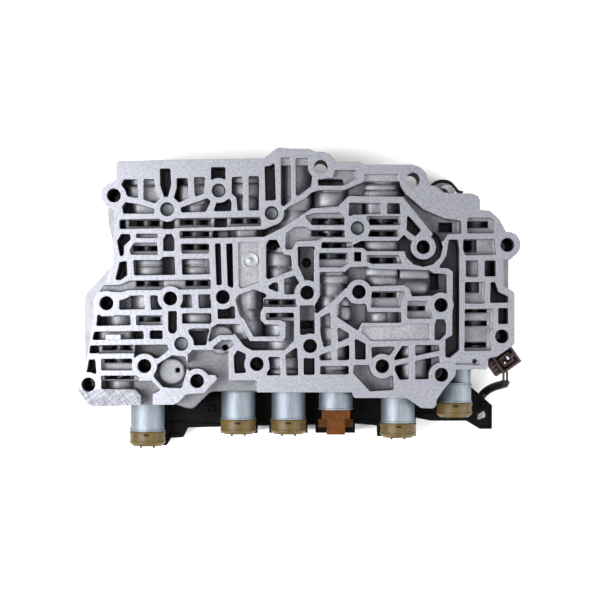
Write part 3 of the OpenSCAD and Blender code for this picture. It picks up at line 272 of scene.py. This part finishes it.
def grainySurface(look, name, light, dark, roughness, grainMm, cloudMm, lift, stretch=(1, 1, 1)):
    material, tree, shader, place = newMaterial(name)
    drawn = addNode(tree, "ShaderNodeMapping", {}, {"Vector": (place, "Object"), "Scale": stretch})
    cloud = addNode(tree, "ShaderNodeTexNoise", {},
                    {"Vector": (drawn, 0), "Scale": perMetre(cloudMm), "Detail": look["cloudDetail"]})
    grain = addNode(tree, "ShaderNodeTexNoise", {},
                    {"Vector": (drawn, 0), "Scale": perMetre(grainMm), "Detail": look["grainDetail"]})
    tone = addNode(tree, "ShaderNodeMapRange", {}, {"Value": (cloud, "Fac"), **look["cloudTone"]})
    color = addNode(tree, "ShaderNodeMix", {"data_type": "RGBA"},
                    {0: (tone, 0), 6: hexColor(dark), 7: hexColor(light)})
    rough = addNode(tree, "ShaderNodeMapRange", {},
                    {"Value": (grain, "Fac"), "To Min": roughness - look["smoother"],
                     "To Max": roughness + look["rougher"]})
    bump = addNode(tree, "ShaderNodeBump", {},
                   {"Height": (grain, "Fac"), "Strength": lift, "Distance": look["bump"]})
    tree.links.new(color.outputs[2], shader.inputs["Base Color"])
    tree.links.new(rough.outputs[0], shader.inputs["Roughness"])
    tree.links.new(bump.outputs[0], shader.inputs["Normal"])
    return material, shader


def plainMetal(*values):
    material, shader = grainySurface(metalLook, *values)
    shader.inputs["Metallic"].default_value = 1.0
    return material


def mouldedPlastic(*values, gloss):
    material, shader = grainySurface(plasticLook, *values)
    shader.inputs["IOR"].default_value = plasticLook["ior"]
    shader.inputs["Specular IOR Level"].default_value = gloss
    return material


# each row: name, light and dark tone, roughness, grain and cloud size in millimetres, lift of the grain,
# and a stretch of the pattern where the metal is rolled, drawn or ground
finish = {
    # bright milled rib tops over grainy satin walls and shaded floors
    "castFace": castAluminium(),
    # sand grey casting, dull and even
    "rearCast": plainMetal("rearCastAluminium", "#8d8e93", "#7d7e83", 0.5, 0.7, 6.0, 0.4),
    # rolled sheet with faint streaks along the rolling
    "plateSteel": plainMetal("rolledSeparatorSteel", "#8e9094", "#77797d", 0.38, 0.5, 5.0, 0.1, (1, 6, 1)),
    # bluish drawn can with fine streaks along its length
    "zincCan": plainMetal("zincPlatedCan", "#7f878f", "#6f767e", 0.58, 0.5, 2.6, 0.08, (3.2, 0.35, 3.2)),
    # ground steel painted dark as painted shade of the ports it lies in, with fine lines round the spool
    "spoolSteel": plainMetal("groundSpoolSteel", "#45474b", "#2d2f33", 0.42, 0.4, 4.0, 0.06, (1, 8, 1)),
    # drawn wire, mid grey with sharp glints
    "springSteel": plainMetal("drawnSpringWire", "#6c6e72", "#484a4e", 0.35, 0.4, 3.0, 0.1),
    # dull plated screw steel
    "boltSteel": plainMetal("zincPlatedBolt", "#67696e", "#54565a", 0.55, 0.5, 3.0, 0.15),
    # bright plating that stands out pale
    "brightZinc": plainMetal("brightZincWasher", "#d2d4da", "#babcc2", 0.5, 0.5, 3.0, 0.1),
    # sheared sheet, darker and a little cloudy
    "keeperSteel": plainMetal("shearedKeeperSteel", "#6b6d70", "#4d4f53", 0.42, 0.5, 4.0, 0.15),
    # blacked steel that reads as dark pegs
    "darkSteel": plainMetal("blackedFootSteel", "#232120", "#141312", 0.5, 0.5, 3.0, 0.1),
    # turned aluminium, clean and fairly shiny
    "plugAluminium": plainMetal("turnedPlugAluminium", "#8f9195", "#74767b", 0.34, 0.4, 4.0, 0.1),
    # small pins with a warm yellow glint
    "brass": plainMetal("tinnedBrassPin", "#a08248", "#745d30", 0.32, 0.4, 2.0, 0.08),
    # tan caps with a soft sheen and faint flow clouds
    "tanNylon": mouldedPlastic("glassFilledTanNylon", "#54431a", "#3e300f", 0.42, 0.5, 5.0, 0.18, gloss=0.25),
    # the same tan where moulded lines lie in shade
    "capShade": mouldedPlastic("shadedTanNylon", "#4a3512", "#38270b", 0.45, 0.5, 5.0, 0.18, gloss=0.2),
    # rust brown cap with little sheen
    "brownNylon": mouldedPlastic("brownNylon", "#542d06", "#3a1f05", 0.4, 0.5, 3.0, 0.15, gloss=0.12),
    # deep black frame, nearly without sheen
    "blackNylon": mouldedPlastic("glassFilledBlackNylon", "#0b0b0d", "#040405", 0.5, 0.6, 6.0, 0.22,
                                 gloss=0.05),
    # dark chocolate connector with soft sheen
    "plugNylon": mouldedPlastic("darkBrownConnectorNylon", "#3f2e29", "#281c19", 0.4, 0.5, 3.0, 0.18,
                                gloss=0.25),
    # black sleeve with a coarse skin
    "sheathVinyl": mouldedPlastic("blackSheathVinyl", "#111112", "#080809", 0.5, 0.7, 3.0, 0.35, gloss=0.2),
    # thin dark brown insulation
    "wireVinyl": mouldedPlastic("wireVinyl", "#2c1f1c", "#1a1311", 0.4, 0.5, 3.0, 0.1, gloss=0.25),
    # dull black rubber, also used as the painted shade in the cap latch slots
    "sealRubberAndSlotShade": mouldedPlastic("nitrileSeal", "#121213", "#09090a", 0.55, 0.4, 3.0, 0.1, gloss=0.2),
    # cream ball, smooth and glossy
    "ballNylon": mouldedPlastic("groundNylonBall", "#c9c6ba", "#b8b4a6", 0.3, 0.4, 3.0, 0.05, gloss=0.4),
}
print("stage: materials ready")

# finishes of the CAD pieces that keep their shape

finishOfNode = {
    "main_casting": "castFace", "rear_casting": "rearCast", "separator_plate": "plateSteel",
    "bore_plugs": "plugAluminium", "plug_keepers": "keeperSteel", "plug_rings": "keeperSteel",
    "nose_seals": "sealRubberAndSlotShade", "solenoid_keepers": "keeperSteel", "solenoid_pins": "brass",
    "lead_frame": "blackNylon", "frame_screws": "boltSteel", "assembly_bolts": "boltSteel",
    "check_balls": "ballNylon", "sensor_plug": "plugNylon", "sensor_wires": "wireVinyl",
    "cable_sheath": "sheathVinyl", "clip_cable": "sheathVinyl", "clip_screw": "boltSteel",
    "cap_4": "brownNylon",
}
for number in range(1, 11):
    finishOfNode[f"spool_{number}"] = "spoolSteel"
    finishOfNode[f"spring_{number}"] = "springSteel"
for number in range(1, 7):
    finishOfNode[f"solenoid_{number}"] = "zincCan"
    finishOfNode.setdefault(f"cap_{number}", "tanNylon")
for name, finishName in finishOfNode.items():
    mesh = nodes[name].data
    mesh.materials.clear()
    mesh.materials.append(finish[finishName])
print("stage: CAD pieces finished")

# small helpers for modelling

alongY = (math.radians(90), 0, 0)  # turn that lays a cylinder along Y


def deselectAll():
    if bpy.context.object and bpy.context.object.mode != "OBJECT":
        bpy.ops.object.mode_set(mode="OBJECT")
    bpy.ops.object.select_all(action="DESELECT")


def activate(piece):
    deselectAll()
    piece.select_set(True)
    bpy.context.view_layer.objects.active = piece


def edit(piece, selection):
    activate(piece)
    bpy.ops.object.mode_set(mode="EDIT")
    bpy.ops.mesh.select_mode(type="FACE")
    bpy.ops.mesh.select_all(action=selection)


def applyPlace():
    bpy.ops.object.transform_apply(location=True, rotation=True, scale=True)


def addModifier(piece, kind, settings):
    modifier = piece.modifiers.new(kind.lower(), kind)
    for name, value in settings.items():
        setattr(modifier, name, value)
    activate(piece)
    bpy.ops.object.modifier_apply(modifier=modifier.name)


def roundEdges(piece, width, segments=2, angle=30):
    addModifier(piece, "BEVEL", {"width": mm(width), "segments": segments, "limit_method": "ANGLE",
                                 "angle_limit": math.radians(angle)})


# works steps into the top of a piece: each an inset and then a shift of the inner face, in millimetres
def stepTop(piece, steps):
    edit(piece, "DESELECT")
    live = bmesh.from_edit_mesh(piece.data)
    for face in live.faces:
        face.select_set(face.normal.z > 0.9)  # only what looks up
    bmesh.update_edit_mesh(piece.data)
    for inset, shift in steps:
        bpy.ops.mesh.inset(thickness=mm(inset))
        bpy.ops.mesh.extrude_region_move(TRANSFORM_OT_translate={"value": [mm(value) for value in shift]})
    bpy.ops.object.mode_set(mode="OBJECT")


def settle(piece, name, finishName):
    activate(piece)
    applyPlace()
    bpy.ops.object.shade_smooth_by_angle(angle=math.radians(35))
    piece.name = name
    piece.data.name = name
    piece.data.materials.clear()
    piece.data.materials.append(finish[finishName])
    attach(piece, "body")
    return piece


def joinPieces(pieces):
    deselectAll()
    for piece in pieces:
        piece.select_set(True)
    bpy.context.view_layer.objects.active = pieces[0]
    bpy.ops.object.join()
    return bpy.context.view_layer.objects.active


# a free copy of a CAD piece, to be worked on and shown in its place
def copyOfNode(nodeName):
    piece = nodes[nodeName].copy()
    piece.data = nodes[nodeName].data.copy()
    piece.parent = None
    del piece["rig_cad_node"]
    bpy.context.collection.objects.link(piece)
    return piece


# place of a piece that is modelled about the origin and set in its place later
def aboutOrigin(x, y, z):
    return Vector((mm(x), mm(y), mm(z)))


# a block with rounded edges, given by its two corners in millimetres
def block(low, high, bevel, segments=2, place=at):
    deselectAll()
    middle = [(a + b) / 2 for a, b in zip(low, high)]
    bpy.ops.mesh.primitive_cube_add(size=1, location=place(*middle))
    piece = bpy.context.object
    bpy.ops.transform.resize(value=[mm(b - a) for a, b in zip(low, high)])
    applyPlace()
    if bevel:
        roundEdges(piece, bevel, segments)
    return piece


# an upright round blank about the origin
def roundBlank(radius, height, sides):
    deselectAll()
    bpy.ops.mesh.primitive_cylinder_add(vertices=sides, radius=mm(radius), depth=mm(height),
                                        location=(0, 0, 0))
    return bpy.context.object


# a shape that repeats: the model and its copies, each with its own mesh, set in their places
def copiesAt(model, spots, place=at):
    pieces = [model]
    while len(pieces) < len(spots):
        piece = model.copy()
        piece.data = model.data.copy()
        bpy.context.collection.objects.link(piece)
        pieces.append(piece)
    for piece, spot in zip(pieces, spots):
        piece.location = place(*spot)
    bpy.context.view_layer.update()
    return pieces


# rounded stages of the bore barrels, as wide as the cells show them; the foot stays above the bores

barrelStages = {
    "foot": 43.6,
    "sides": 64,
    "edge": 0.35,
    "edgeAngle": 60,
    # low and high x, low and high y on the plan, height of the crown
    "places": [
        (8.2, 22.6, 8.2, 12.4, 47.2), (9.0, 19.6, 2.4, 7.9, 46.8), (8.2, 17.0, -3.4, 2.1, 46.9),
        (30.4, 47.2, 12.1, 16.0, 47.3), (32.0, 46.6, 7.2, 11.6, 47.0),
        (16.7, 23.5, -3.0, 1.3, 46.9), (16.6, 23.7, -10.0, -3.5, 46.9),
        (8.2, 22.8, -20.8, -13.5, 47.0), (8.8, 20.9, -30.3, -22.2, 46.8),
        (33.2, 42.6, -11.2, -6.3, 47.4), (48.9, 61.7, -28.0, -22.6, 46.9), (48.9, 61.7, -39.5, -29.8, 46.9),
        (-36.5, -21.7, 58.9, 61.9, 47.0), (-36.5, -21.7, 52.5, 58.4, 47.3), (-34.6, -23.3, 44.6, 51.6, 46.8),
        (6.8, 20.2, 46.6, 54.1, 47.2), (30.2, 46.8, 55.4, 58.0, 46.9), (30.2, 47.6, 51.3, 54.9, 47.2),
        (30.4, 47.2, 25.0, 29.5, 47.2),
        (-84.4, -70.9, 17.5, 20.2, 46.8), (-84.4, -70.9, 12.4, 17.0, 47.2),
        (-60.8, -47.0, 17.5, 20.8, 46.8), (-60.8, -47.0, 12.8, 17.0, 47.2), (-60.6, -46.6, -11.6, -6.9, 47.0),
        (-18.5, -6.2, 16.9, 23.6, 47.2), (-17.6, -7.0, 11.3, 16.2, 46.8),
        (-17.2, -3.1, -34.5, -28.8, 47.0), (-17.2, -3.1, -37.5, -35.1, 46.8),
    ],
    # low and high corner, rounding and its segments
    "blocks": [
        # the short cross barrel at the right and the pale floor beside it
        ((49.2, 2.3, 39.0), (62.9, 9.9, 47.2), 3.2, 5),
        ((48.2, 10.6, 39.0), (62.9, 15.2, 43.2), 0.5, 2),
        # milled lands on two barrels at the left, a hair under the ribs beside them
        ((-99.4, -20.6, 45.0), (-91.6, -17.0, 51.95), 0.3, 1),
        ((-101.8, -8.3, 45.0), (-94.6, -6.8, 51.95), 0.3, 1),
    ],
}


def barrelStage(lowX, highX, lowY, highY, crown):
    deselectAll()
    foot = barrelStages["foot"]
    half = (highX - lowX) / 2
    middle = at((lowX + highX) / 2, (lowY + highY) / 2, foot)
    bpy.ops.mesh.primitive_cylinder_add(vertices=barrelStages["sides"], radius=mm(half),
                                        depth=mm(highY - lowY), location=middle, rotation=alongY)
    piece = bpy.context.object
    bpy.ops.object.transform_apply(location=False, rotation=True, scale=True)
    bpy.ops.transform.resize(value=(1, 1, (crown - foot) / half))
    applyPlace()
    edit(piece, "SELECT")
    bpy.ops.mesh.bisect(plane_co=middle, plane_no=(0, 0, 1), use_fill=True, clear_inner=True)
    bpy.ops.object.mode_set(mode="OBJECT")
    roundEdges(piece, barrelStages["edge"], angle=barrelStages["edgeAngle"])
    return piece


stages = [barrelStage(*place) for place in barrelStages["places"]]
stages += [block(*corners) for corners in barrelStages["blocks"]]
settle(joinPieces(stages), "barrelStages", "castFace")
print("stage: barrel stages")

# solenoid cans and caps

solenoidRow = {
    # place along the row, seat of the can and length of the can
    "places": [(-80.0, -52.1, 15.0), (-33.6, -46.0, 15.0), (-7.9, -46.0, 15.0), (16.3, -46.0, 10.0),
               (48.1, -48.8, 14.0), (77.0, -42.3, 10.0)],
    "teeCap": 3,  # counted from 0; this brown cap has none of the cap details below
    "canRadius": 8.6,
    "ringWall": 0.6,
    "ringRound": 0.32,
    "ringSides": 72,
    "ringAngle": 50,
    # rings: distance along the can from its end or its seat, growth of the radius, width, rise
    "endLip": (0.55, 0.05, 0.9, 0.1),
    "seatLip": (-1.0, 0.0, 0.7, 0.1),
    "capCollar": (-0.7, 0.45, 1.0, 0.1),
    "capBead": (-5.2, 0.4, 0.6, 0.05),
    # a dark block on the crown of each cap as painted shade of its latch slot, and a moulded bracket line at
    # either side
    "crown": 0.4,
    "slot": ((-1.05, -2.15, -1.3), (1.05, -1.25, -0.45)),
    "slotSpread": (0,),
    "mark": ((-0.2, -5.0, -3.2), (0.2, -1.4, -2.2)),
    "markSpread": (-6.1, 6.1),
    "fineRound": 0.1,
    # two small dark feet at the outer end of each cap, their height counted from the axis
    "foot": ((-0.6, -8.5, 1.4), (0.6, -7.4, 2.6)),
    "footSpread": (-3.3, 3.3),
    "footRound": 0.2,
}
canAxis = plan["solenoidAxis"]
capCrown = canAxis + solenoidRow["canRadius"] + solenoidRow["crown"]
canSeats = [(x, seat) for x, seat, length in solenoidRow["places"]]
canEnds = [(x, seat - length) for x, seat, length in solenoidRow["places"]]
capEnds = [end for index, end in enumerate(canEnds) if index != solenoidRow["teeCap"]]


# one rounded ring, repeated at the same distance from each of the starts
def canRings(starts, away, growth, width, rise):
    deselectAll()
    bpy.ops.mesh.primitive_cylinder_add(
        vertices=solenoidRow["ringSides"], radius=mm(solenoidRow["canRadius"] + growth), depth=mm(width),
        end_fill_type="NOTHING", location=(0, 0, 0), rotation=alongY)
    ring = bpy.context.object
    applyPlace()
    wall = rise + solenoidRow["ringWall"]
    addModifier(ring, "SOLIDIFY", {"thickness": mm(wall), "offset": 0.0})
    roundEdges(ring, min(width, wall) * solenoidRow["ringRound"], angle=solenoidRow["ringAngle"])
    return copiesAt(ring, [(x, y + away, canAxis) for x, y in starts])


# one small block, repeated on each cap at its places across the cap
def capBlocks(corners, spread, height, bevel):
    model = block(*corners, bevel, place=aboutOrigin)
    return copiesAt(model, [(x + across, y, height) for x, y in capEnds for across in spread])


lips = canRings(canEnds, *solenoidRow["endLip"]) + canRings(canSeats, *solenoidRow["seatLip"])
collars = canRings(capEnds, *solenoidRow["capCollar"]) + canRings(capEnds, *solenoidRow["capBead"])
slotShades = capBlocks(solenoidRow["slot"], solenoidRow["slotSpread"], capCrown, solenoidRow["fineRound"])
marks = capBlocks(solenoidRow["mark"], solenoidRow["markSpread"], capCrown, solenoidRow["fineRound"])
feet = capBlocks(solenoidRow["foot"], solenoidRow["footSpread"], canAxis, solenoidRow["footRound"])
settle(joinPieces(lips), "canLips", "zincCan")
settle(joinPieces(collars), "capCollars", "tanNylon")
settle(joinPieces(feet), "capFeet", "darkSteel")
# black blocks as painted shade where the latch slots lie
settle(joinPieces(slotShades), "capSlotShades", "sealRubberAndSlotShade")
settle(joinPieces(marks), "capMarks", "capShade")
print("stage: solenoid details")

# round mould mark on the plain pad: a raised rim round a sunken ring and a flat middle

mouldMark = {
    "place": (-27.0, 19.8, 50.1),
    "radius": 4.3,
    "height": 0.8,
    "sides": 48,
    "steps": [(0.9, (0, 0, -0.4)), (2.4, (0, 0, 0.5))],
    "round": 0.15,
}
mark = roundBlank(mouldMark["radius"], mouldMark["height"], mouldMark["sides"])
stepTop(mark, mouldMark["steps"])
roundEdges(mark, mouldMark["round"])
mark.location = at(*mouldMark["place"])
settle(mark, "mouldMark", "rearCast")
print("stage: mould mark")

# casting with broken edges and one narrow groove milled into its face

castingBody = {
    "mergeWithin": 0.004,
    "flatWithin": 1.0,
    "grooveLow": (75.6, -32.3, plan["face"] - 1.3),
    "grooveHigh": (85.6, -31.4, plan["face"] + 2),
    "grooveRound": 0.3,
    "edge": 0.28,
    "edgeAngle": 42,
    "flatWeight": 60,
}


def mainCastingBody():
    piece = copyOfNode("main_casting")
    edit(piece, "SELECT")
    bpy.ops.mesh.remove_doubles(threshold=mm(castingBody["mergeWithin"]))
    bpy.ops.mesh.dissolve_limited(angle_limit=math.radians(castingBody["flatWithin"]))
    bpy.ops.object.mode_set(mode="OBJECT")
    cutter = block(castingBody["grooveLow"], castingBody["grooveHigh"], castingBody["grooveRound"])
    addModifier(piece, "BOOLEAN", {"operation": "DIFFERENCE", "object": cutter, "solver": "EXACT"})
    bpy.data.objects.remove(cutter, do_unlink=True)
    roundEdges(piece, castingBody["edge"], angle=castingBody["edgeAngle"])
    settle(piece, "mainCastingBody", "castFace")
    # the broad flats keep a level shading right up to their narrow broken edges
    addModifier(piece, "WEIGHTED_NORMAL", {"mode": "FACE_AREA", "weight": castingBody["flatWeight"],
                                           "keep_sharp": True})
    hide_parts("main_casting")
    return piece


mainBody = mainCastingBody()
print("stage: casting edges", len(mainBody.data.polygons))

# sensor connector: a shell with a nested shroud, gripping ribs and two blades in its mouth

connector = {
    "place": (101.6, -31.15, 21.7),
    "turn": 35,
    # corners counted from the middle of its base: the shell is 15 long with its housing, 10.5 wide, 12 high
    "shell": ((-4.1, -5.25, 0), (7.5, 5.25, 12.0)),
    "shroud": [(1.3, (0, 0, -6.5)), (1.3, (0, 0, 5.6)), (0.9, (0, 0, -4.4))],
    "edge": 0.25,
    # stepped rear housing
    "housing": ((-7.5, -4.45, 0.6), (-3.9, 4.85, 9.8)),
    "housingRound": 0.4,
    # first gripping rib, and the step to the next
    "rib": ((-7.2, -3.85, 9.4), (-4.3, -2.85, 11.0)),
    "ribStep": 2.1,
    "ribCount": 4,
    "ribRound": 0.2,
    # latch tongue that lies across the mouth
    "tongue": ((3.3, -1.0, 8.8), (6.9, 1.2, 11.6)),
    # tinned blades that show in the mouth
    "blades": [((2.1, -0.7, 6.4), (3.1, 1.4, 11.2)), ((-0.4, -1.5, 6.4), (0.5, -0.5, 11.2))],
    "bladeRound": 0.15,
}


def connectorBlock(corners, bevel):
    return block(*corners, bevel, place=aboutOrigin)


def setConnector(parts):
    piece = joinPieces(parts)
    piece.rotation_euler = (0, 0, math.radians(connector["turn"]))
    piece.location = at(*connector["place"])
    return piece


shell = connectorBlock(connector["shell"], 0)
stepTop(shell, connector["shroud"])
roundEdges(shell, connector["edge"])
connectorParts = [shell, connectorBlock(connector["housing"], connector["housingRound"])]
rib = connectorBlock(connector["rib"], connector["ribRound"])
ribSpots = [(0, row * connector["ribStep"], 0) for row in range(connector["ribCount"])]
connectorParts += copiesAt(rib, ribSpots, place=aboutOrigin)
connectorParts.append(connectorBlock(connector["tongue"], connector["edge"]))
connectorShell = settle(setConnector(connectorParts), "connectorShell", "plugNylon")
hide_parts("sensor_plug")
blades = [connectorBlock(corners, connector["bladeRound"]) for corners in connector["blades"]]
settle(setConnector(blades), "connectorBlades", "brightZinc")
print("stage: connector")

# sheath of the sensor lead, on the route of the CAD

sheath = {
    "radius": 2.15,
    "route": [(92.3, -49.99, 8.5), (94.1, -47.95, 8.5), (96.8, -45.8, 12.4), (99.5, -44.3, 18.2),
              (101.9, -43.2, 24), (103, -42.3, 26.9), (103, -41.4, 26.9)],
}


def roundTube(name, points, radius):
    curve = bpy.data.curves.new(name, "CURVE")
    curve.dimensions = "3D"
    curve.bevel_depth = mm(radius)
    curve.bevel_resolution = 6
    curve.use_fill_caps = True
    curve.resolution_u = 10
    spline = curve.splines.new("BEZIER")
    spline.bezier_points.add(len(points) - 1)
    for knot, point in zip(spline.bezier_points, points):
        knot.co = at(*point)
        knot.handle_left_type = knot.handle_right_type = "AUTO"
    tube = bpy.data.objects.new(name, curve)
    bpy.context.collection.objects.link(tube)
    activate(tube)
    bpy.ops.object.convert(target="MESH")
    return bpy.context.object


tube = roundTube("leadSheath", sheath["route"], sheath["radius"])
settle(tube, "leadSheath", "sheathVinyl")
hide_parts("cable_sheath")
print("stage: lead sheath")

# ribs and small hollow bosses on the lead frame

frameRibs = {
    # low and high corners of each rib on the plan
    "ribs": [
        (-68.5, -49.0, -43.5, -48.0), (-68.5, -63.8, -61.0, -62.8), (-60.5, -64.6, -44.0, -63.6),
        (-23.0, -63.8, -17.5, -62.8), (-23.0, -49.0, -18.0, -48.0), (26.5, -62.9, 38.0, -61.9),
        (26.0, -51.5, 38.0, -50.5), (58.0, -59.6, 68.0, -58.6), (91.2, -66.4, 97.0, -65.6),
        (96.3, -65.6, 97.1, -55.2), (86.4, -61.4, 87.2, -48.2), (-69.4, -70.0, -64.0, -69.0),
    ],
    "sink": 0.4,
    "rise": 1.2,
    "round": 0.2,
    "bosses": [(-64.0, -57.0), (-48.5, -56.5), (-20.5, -57.0), (32.0, -56.5), (63.5, -56.0), (93.6, -54.4)],
    "bossMiddle": 0.6,
    "bossRadius": 2.0,
    "bossHeight": 2.0,
    "bossSides": 32,
    "bossHollow": [(0.8, (0, 0, -1.2))],
}
ribPieces = []
for x0, y0, x1, y1 in frameRibs["ribs"]:
    ribLow = (x0, y0, plan["frameTop"] - frameRibs["sink"])
    ribHigh = (x1, y1, plan["frameTop"] + frameRibs["rise"])
    ribPieces.append(block(ribLow, ribHigh, frameRibs["round"]))
boss = roundBlank(frameRibs["bossRadius"], frameRibs["bossHeight"], frameRibs["bossSides"])
stepTop(boss, frameRibs["bossHollow"])
roundEdges(boss, frameRibs["round"])
bossSpots = [(x, y, plan["frameTop"] + frameRibs["bossMiddle"]) for x, y in frameRibs["bosses"]]
ribPieces += copiesAt(boss, bossSpots)
settle(joinPieces(ribPieces), "leadFrameRibs", "blackNylon")
print("stage: lead frame ribs")

# bolt ends in the blind holes: turned, with a shallow hollow a little off the middle

turnedEnd = {"height": 1.0, "sides": 40, "offset": 0.7, "round": 0.18}
boltEnds = {
    "places": [(-68.5, 45.4), (-42.7, 54.8), (-16.2, 43.5), (26.8, 36.0), (-61.4, -21.9)],
    "level": 46.0,
    "shape": (2.9, 0.5, 0.08),  # radius, rim and sink
}


def turnedTip(radius, rim, sink):
    tip = roundBlank(radius, turnedEnd["height"], turnedEnd["sides"])
    stepTop(tip, [(rim, (-rim * turnedEnd["offset"], 0, -sink))])
    roundEdges(tip, turnedEnd["round"])
    return tip


boltSpots = [(x, y, boltEnds["level"]) for x, y in boltEnds["places"]]
tips = copiesAt(turnedTip(*boltEnds["shape"]), boltSpots)
settle(joinPieces(tips), "boltTips", "boltSteel")
print("stage: bolt tips")

# cable loop round the clip screw, with a bright washer under the screw head

clip = {
    "head": (72.0, 55.0, 13.2),
    "headShape": (2.9, 1.0, 0.8),  # radius, rim and sink
    "washer": (74.4, 55.8, 10.6),
    "washerShape": (4.1, 0.5, 0.15),
    "cableRadius": 0.85,
    "route": [(64.6, 56.4, 10.3), (66.6, 59.5, 10.4), (69.2, 61.2, 10.5), (72.4, 61.7, 10.5),
              (75.6, 60.9, 10.5), (78.2, 58.3, 10.5), (80.2, 56.2, 10.4), (82.4, 55.7, 10.3)],
}
head = turnedTip(*clip["headShape"])
head.location = at(*clip["head"])
settle(head, "clipHead", "boltSteel")
washer = turnedTip(*clip["washerShape"])
washer.location = at(*clip["washer"])
settle(washer, "clipWasher", "brightZinc")
loop = roundTube("clipLoop", clip["route"], clip["cableRadius"])
settle(loop, "clipLoop", "sheathVinyl")
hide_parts("clip_cable")
print("stage: clip")

# copies of the return springs, shown in place of the CAD springs

for joint in frame["joints"]:
    number = joint["name"].split("_")[1]
    node = f"spring_{number}"
    spring = settle(copyOfNode(node), f"returnSpring{number}", "springSteel")
    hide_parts(node)
    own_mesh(spring)
print("stage: return springs")

# floor, light and camera, in metres

studio = {
    "floorSize": 6,
    "floorDrop": 0.0005,
    "paper": "#fbfbfb",
    "paperRoughness": 0.9,
    "roomLight": 0.8,
    # name, place, target, size and power of each softbox
    "boxes": [
        ("keyBox", (-0.5, -0.1, 0.64), (-0.06, -0.03, 0), (0.4, 0.64), 11.8),
        ("fillBox", (0.75, -0.45, 1.05), (0, -0.03, 0), (0.6, 0.9), 9.2),
        ("sideBox", (0.8, -0.08, 0.34), (0.05, -0.05, 0.02), (0.3, 0.6), 3.6),
    ],
    # the camera looks straight down on this place of the plan, from its height above the face
    "cameraMiddle": (-2, 0),
    "cameraHeight": 1.1,
    "lens": 132.0,
    "sensor": 36,
}
deselectAll()
bpy.ops.mesh.primitive_plane_add(size=studio["floorSize"], location=(0, 0, -studio["floorDrop"]))
floor = bpy.context.object
floor.name = "floor"
# matt white paper that carries only soft shadows
paper = newMaterial("whitePaperSweep")[0]
paperShader = paper.node_tree.nodes["Principled BSDF"]
paperShader.inputs["Base Color"].default_value = hexColor(studio["paper"])
paperShader.inputs["Roughness"].default_value = studio["paperRoughness"]
floor.data.materials.append(paper)

world = bpy.data.worlds.new("softRoom")
bpy.context.scene.world = world
world.use_nodes = True
roomLight = world.node_tree.nodes["Background"]
roomLight.inputs["Color"].default_value = (1, 1, 1, 1)
roomLight.inputs["Strength"].default_value = studio["roomLight"]


def softbox(name, place, target, size, power):
    light = bpy.data.lights.new(name, "AREA")
    light.shape = "RECTANGLE"
    light.size, light.size_y = size
    light.energy = power
    lamp = bpy.data.objects.new(name, light)
    bpy.context.collection.objects.link(lamp)
    lamp.location = place
    lamp.rotation_euler = (Vector(target) - Vector(place)).to_track_quat("-Z", "Y").to_euler()


for box in studio["boxes"]:
    softbox(*box)

cameraData = bpy.data.cameras.new("photoCamera")
cameraData.lens = studio["lens"]
cameraData.sensor_width = studio["sensor"]
camera = bpy.data.objects.new("photoCamera", cameraData)
bpy.context.collection.objects.link(camera)
camera.location = at(*studio["cameraMiddle"], plan["face"]) + Vector((0, 0, studio["cameraHeight"]))
camera.rotation_euler = (0, 0, 0)
bpy.context.scene.camera = camera
bpy.context.scene.view_settings.view_transform = "Standard"
print("stage: studio")
